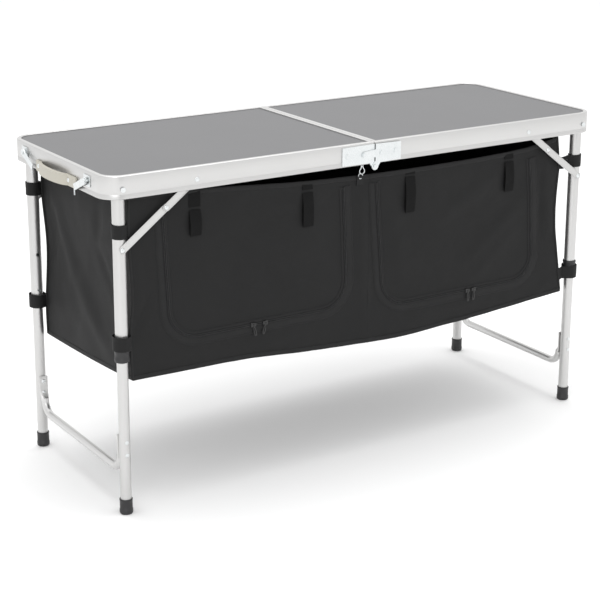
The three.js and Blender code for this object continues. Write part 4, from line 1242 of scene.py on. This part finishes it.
# Each slider as (place on the foot of the zip, direction its body points, lean of its pull).
SLIDERS = {"left": ((-279, -1, 12), (-251, 1, -14)), "right": ((264, -1, 3), (281, 1, -4))}
BODY_OUTLINE = (
    (-6, -3.2), (-4, -3.6), (3.5, -4.6), (5.6, -4.2), (5.6, 4.2), (3.5, 4.6), (-4, 3.6), (-6, 3.2),
)
for end, pair in SLIDERS.items():
    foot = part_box(f"{end}_door")[0].z / MM
    for number, (u, points_to, lean) in enumerate(pair):
        centre = front_point(u, foot, 3.0)
        across, up = Vector((points_to, 0, 0)), Vector((0, 0, 1))
        slider = f"{end}_zip_slider_{number + 1}"
        packs_flat(make_piece(
            f"{slider}_body", *pressed_plate(BODY_OUTLINE, centre, across, up, 3), black_enamel,
            f"{end}_zip_slider", "black_plastic", [f"{end}_zip_slider"] if number == 0 else (),
        ))
        outward = Vector((0, -1, 0))
        arch = [
            centre + across * (-3.5 + 7 * i / 8) * MM + outward * (0.8 + 1.7 * math.sin(math.pi * i / 8)) * MM
            for i in range(9)
        ]
        packs_flat(make_piece(
            f"{slider}_bridge", *wire(arch, 0.8 * MM), black_enamel, f"{end}_zip_slider", "black_plastic",
        ))
        down = Vector((math.sin(math.radians(lean)), 0, -math.cos(math.radians(lean))))
        outer, inner = [], []
        for i in range(28):
            turn = 2 * math.pi * i / 28
            reach = 13 + 11 * math.cos(turn)
            wide = 2.1 + 1.7 * (reach / 24)
            outer.append((wide * math.copysign(abs(math.sin(turn)) ** 0.7, math.sin(turn)), reach))
            inner.append((1.2 * math.sin(turn), 13.5 + 8 * math.cos(turn)))
        pull_centre = centre + outward * (1.6 * MM)
        packs_flat(make_piece(
            f"{slider}_pull", *holed_plate(outer, inner, pull_centre, outward.cross(down), down, 1.2),
            black_enamel, f"{end}_zip_slider", "black_plastic",
        ))


# ---------------------------------------------------------------- tie-back loops
# Doubled loops of dark ribbed webbing hang in front of each door, sewn in at the top hem.
# A rolled-up door is held up in them.
webbing, nodes, links, shader, place = finish_nodes("black_webbing")
shader.inputs["Specular IOR Level"].default_value = 0.2
cord_rows = nodes.new("ShaderNodeTexWave")
cord_rows.bands_direction = "Z"
cord_rows.inputs["Scale"].default_value = 190
cord_bump = nodes.new("ShaderNodeBump")
cord_bump.inputs["Strength"].default_value = 0.5
cord_bump.inputs["Distance"].default_value = 0.0005
cord_wear = nodes.new("ShaderNodeTexNoise")
cord_wear.inputs["Scale"].default_value = 60
cord_dye = nodes.new("ShaderNodeMix")
cord_dye.data_type = "RGBA"
cord_dye.inputs["A"].default_value = (0.0022, 0.0022, 0.0023, 1)
cord_dye.inputs["B"].default_value = (0.0042, 0.0042, 0.0043, 1)
cord_rough = nodes.new("ShaderNodeMapRange")
cord_rough.inputs["To Min"].default_value = 0.7
cord_rough.inputs["To Max"].default_value = 0.88
links.new(place, cord_rows.inputs["Vector"])
links.new(place, cord_wear.inputs["Vector"])
links.new(cord_rows.outputs["Fac"], cord_bump.inputs["Height"])
links.new(cord_bump.outputs["Normal"], shader.inputs["Normal"])
links.new(cord_wear.outputs["Fac"], cord_dye.inputs["Factor"])
links.new(cord_dye.outputs["Result"], shader.inputs["Base Color"])
links.new(cord_wear.outputs["Fac"], cord_rough.inputs["Value"])
links.new(cord_rough.outputs["Result"], shader.inputs["Roughness"])

# Each tie-back as (place along the front, its sewn top, its hanging tip), in millimetres.
TIE_BACKS = {
    "left": ((-407, 628, 542), (-151, 609, 523)),
    "right": ((103, 602, 517), (369, 608, 527)),
}
TAB_GAP = 5
TIE_BOW = 5.2
for end, places in TIE_BACKS.items():
    hinge_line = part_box(f"{end}_door")[1].z / MM + 1
    tab_foot = hinge_line + TAB_GAP
    for number, (u, top, tip) in enumerate(places):
        widths = [-12 + 4 * i for i in range(7)]
        rows = [
            [front_point(u + a, top + (tab_foot - top) * i / 6, 1.3 + 0.6 * i / 6) for a in widths]
            for i in range(7)
        ]
        packs_flat(make_piece(
            f"{end}_tie_back_{number + 1}_sewn", *cloth_shell(rows, (0, 1, 0), thickness=1.2 * MM), webbing,
            f"{end}_top", "black_fabric", smooth_angle=50,
        ))
        drop = hinge_line - tip
        path = [
            (hinge_line - 0.3 - drop * i / 10, 1.9 + TIE_BOW * math.sin(math.pi * 0.8 * i / 10))
            for i in range(11)
        ]
        low_lift = path[-1][1]
        path += [(tip - 1.6, low_lift - 0.6), (tip - 1.6, low_lift - 1.6), (tip, low_lift - 2.3)]
        path += [(tip + drop * i / 6, 1.1) for i in range(1, 6)]
        rows = [[front_point(u + a, z, max(lift, 1.1)) for a in widths] for z, lift in path]
        packs_flat(make_piece(
            f"{end}_tie_back_{number + 1}_loop", *cloth_shell(rows, (0, 1, 0), thickness=0.9 * MM), webbing,
            f"{end}_door", "black_fabric", smooth_angle=50,
        ))


# ---------------------------------------------------------------- leg straps
# Bands of the bag's cloth go round every leg near its top and its collar and hold the bag
# out to the legs. A short doubled strap joins each band to the corner of the bag.
UPPER_STRAP = 571
LOWER_STRAPS = {"front_left": 352, "rear_left": 329, "front_right": 313, "rear_right": 327}
for end, side in (("left", -1), ("right", 1)):
    for row, face in (("front", -1), ("rear", 1)):
        leg = f"{row}_{end}"
        low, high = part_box(f"{leg}_upper_leg")
        for level, centre_z, height, radius in (
            ("upper", UPPER_STRAP, 27, 14.6), ("lower", LOWER_STRAPS[leg], 28, 17.4),
        ):
            axis = Vector(((low.x + high.x) / 2, (low.y + high.y) / 2, centre_z * MM))
            if row == "front":
                corner = front_point(front_edge[end](centre_z), centre_z, -1.5)
            else:
                corner_x = SEAM_X + rear_edge[end](centre_z) * MM
                corner = Vector((corner_x, rear_edge_depth(centre_z) * MM, centre_z * MM))
            toward = (corner - axis) / MM
            gap = math.hypot(toward.x, toward.y)
            heading = math.atan2(toward.y, toward.x)
            tip = min(max(gap, radius + 1.5), radius + 7)
            tangent = math.acos(radius / tip)
            rows = []
            for i in range(9):
                row_z = centre_z + height * (0.5 - i / 8)
                ring = []
                for j in range(48):
                    turn = 2 * math.pi * j / 48
                    turn = turn - 2 * math.pi if turn > math.pi else turn
                    reach = radius / math.cos(abs(turn) - tangent) if abs(turn) < tangent else radius
                    slack = 0.35 * noise.noise(Vector((turn * 2, row_z / 14, centre_z)))
                    sag = -1.5 * (1 - abs(turn) / math.pi)
                    out = (reach + slack) * MM
                    ring.append(axis + Vector((
                        math.cos(heading + turn) * out, math.sin(heading + turn) * out,
                        (row_z - centre_z + sag) * MM,
                    )))
                rows.append(ring)
            strap = make_piece(
                f"{leg}_{level}_leg_strap", *cloth_shell(rows, (0, 0, 1), around=True, thickness=0.9 * MM),
                oxford, f"{end}_legs", "black_fabric", smooth_angle=60,
            )
            # Room between a folded leg's axis and the panel, and how far the fold line is offset.
            room, lean = 14.8, 8
            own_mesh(strap)
            if gap > tip + 1:
                start = axis + Vector((math.cos(heading), math.sin(heading), 0)) * (tip * MM)
                rows = []
                for i in range(9):
                    row_z = (height * (0.5 - i / 8) - 1.5) * MM
                    rows.append([
                        start.lerp(corner, j / 8) + Vector((0, 0, row_z - 2 * MM * math.sin(math.pi * j / 8)))
                        for j in range(9)
                    ])
                packs_flat(make_piece(
                    f"{leg}_{level}_strap_tail", *cloth_shell(rows, (0, 1, 0), thickness=1.8 * MM),
                    binding_tape, f"{end}_top", "black_fabric", smooth_angle=60,
                ))


# ---------------------------------------------------------------- snap clip
# A bent wire clip hangs from the front hinge. It hooks a wire ring that sits in a folded
# webbing tab on the hem of the left bag.
CLIP_WIRE = 1.1 * MM
RING_WIRE = 0.9 * MM
EYE_RADIUS = 2.3 * MM
low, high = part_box("snap_clip")
clip_x, clip_y = (low.x + high.x) / 2, (low.y + high.y) / 2
bowl = (high.x - low.x) / 2 - 1.2 * MM
bowl_z = low.z + 1.2 * MM + bowl
route = []
for i in range(25):
    turn = math.radians(-232 + 284 * i / 24)
    route.append(Vector((clip_x + bowl * math.cos(turn), clip_y, bowl_z + bowl * math.sin(turn))))
neck = Vector((clip_x, clip_y, high.z - 3.4 * MM))
route = [neck + Vector((-1.2 * MM, 0, 0))] + route + [neck + Vector((1.2 * MM, 0, 0))]
make_piece("snap_clip_wire", *wire(route, CLIP_WIRE), zinc, "snap_clip", "zinc_plate", ["snap_clip"])
eye = [
    Vector((clip_x + EYE_RADIUS * math.cos(turn), clip_y, high.z - 3 * MM + EYE_RADIUS * math.sin(turn)))
    for turn in (2 * math.pi * i / 20 for i in range(20))
]
make_piece("snap_clip_eye", *wire(eye, RING_WIRE, closed=True), zinc, "snap_clip", "zinc_plate")

tab_z = low.z - 3 * MM
rows = []
for height, lift in ((0, 3.0), (-1.5, 4.6), (-4, 4.4), (-8, 3.0), (-14, 2.2), (-20, 2.0)):
    rows.append([
        front_point((clip_x - SEAM_X) / MM + a, tab_z / MM + height, lift) for a in (-8, -4, 0, 4, 8)
    ])
packs_flat(make_piece(
    "hem_tab", *cloth_shell(rows, (0, 1, 0), thickness=1.6 * MM), binding_tape, "left_top", "black_fabric",
    smooth_angle=50,
))
tab_front = front_point((clip_x - SEAM_X) / MM, tab_z / MM, 3.4)
hoop = [
    Vector((clip_x + 5 * MM * math.cos(turn), tab_front.y, tab_z - 1 * MM + 5.5 * MM * math.sin(turn)))
    for turn in (2 * math.pi * i / 24 for i in range(24))
]
make_piece("hem_ring", *wire(hoop, RING_WIRE, closed=True), zinc, "left_top", "zinc_plate")


# ---------------------------------------------------------------- carry handle
# A flexible grey-beige moulded strap, bowed out from the rim for the fingers and riveted
# down at both of its flat ends.
strap_plastic, nodes, links, shader, place = finish_nodes("beige_moulded_strap")
shader.inputs["Base Color"].default_value = (0.45, 0.43, 0.37, 1)
grip = nodes.new("ShaderNodeTexWave")
grip.bands_direction = "Y"
grip.inputs["Scale"].default_value = 110
grip_skin = nodes.new("ShaderNodeBump")
grip_skin.inputs["Strength"].default_value = 0.25
grip_skin.inputs["Distance"].default_value = 0.0006
strap_rough = nodes.new("ShaderNodeTexNoise")
strap_rough.inputs["Scale"].default_value = 80
strap_range = nodes.new("ShaderNodeMapRange")
strap_range.inputs["To Min"].default_value = 0.38
strap_range.inputs["To Max"].default_value = 0.55
links.new(place, grip.inputs["Vector"])
links.new(place, strap_rough.inputs["Vector"])
links.new(grip.outputs["Fac"], grip_skin.inputs["Height"])
links.new(grip_skin.outputs["Normal"], shader.inputs["Normal"])
links.new(strap_rough.outputs["Fac"], strap_range.inputs["Value"])
links.new(strap_range.outputs["Result"], shader.inputs["Roughness"])
repaint("carry_handle", strap_plastic)
soften_edges("carry_handle", 0.9 * MM)
low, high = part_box("carry_handle")
STRAP_THICKNESS = 3.4 * MM
FRONT_RIVET_INSET = 34 * MM
REAR_RIVET_INSET = 11 * MM
for i, y in enumerate((low.y + FRONT_RIVET_INSET, high.y - REAR_RIVET_INSET)):
    domed_rivet(
        f"handle_rivet_{i + 1}", (high.x - STRAP_THICKNESS, y, (low.z + high.z) / 2), (-1, 0, 0), 4.4 * MM,
        1.8 * MM, zinc, "left_top", "zinc_plate",
    )
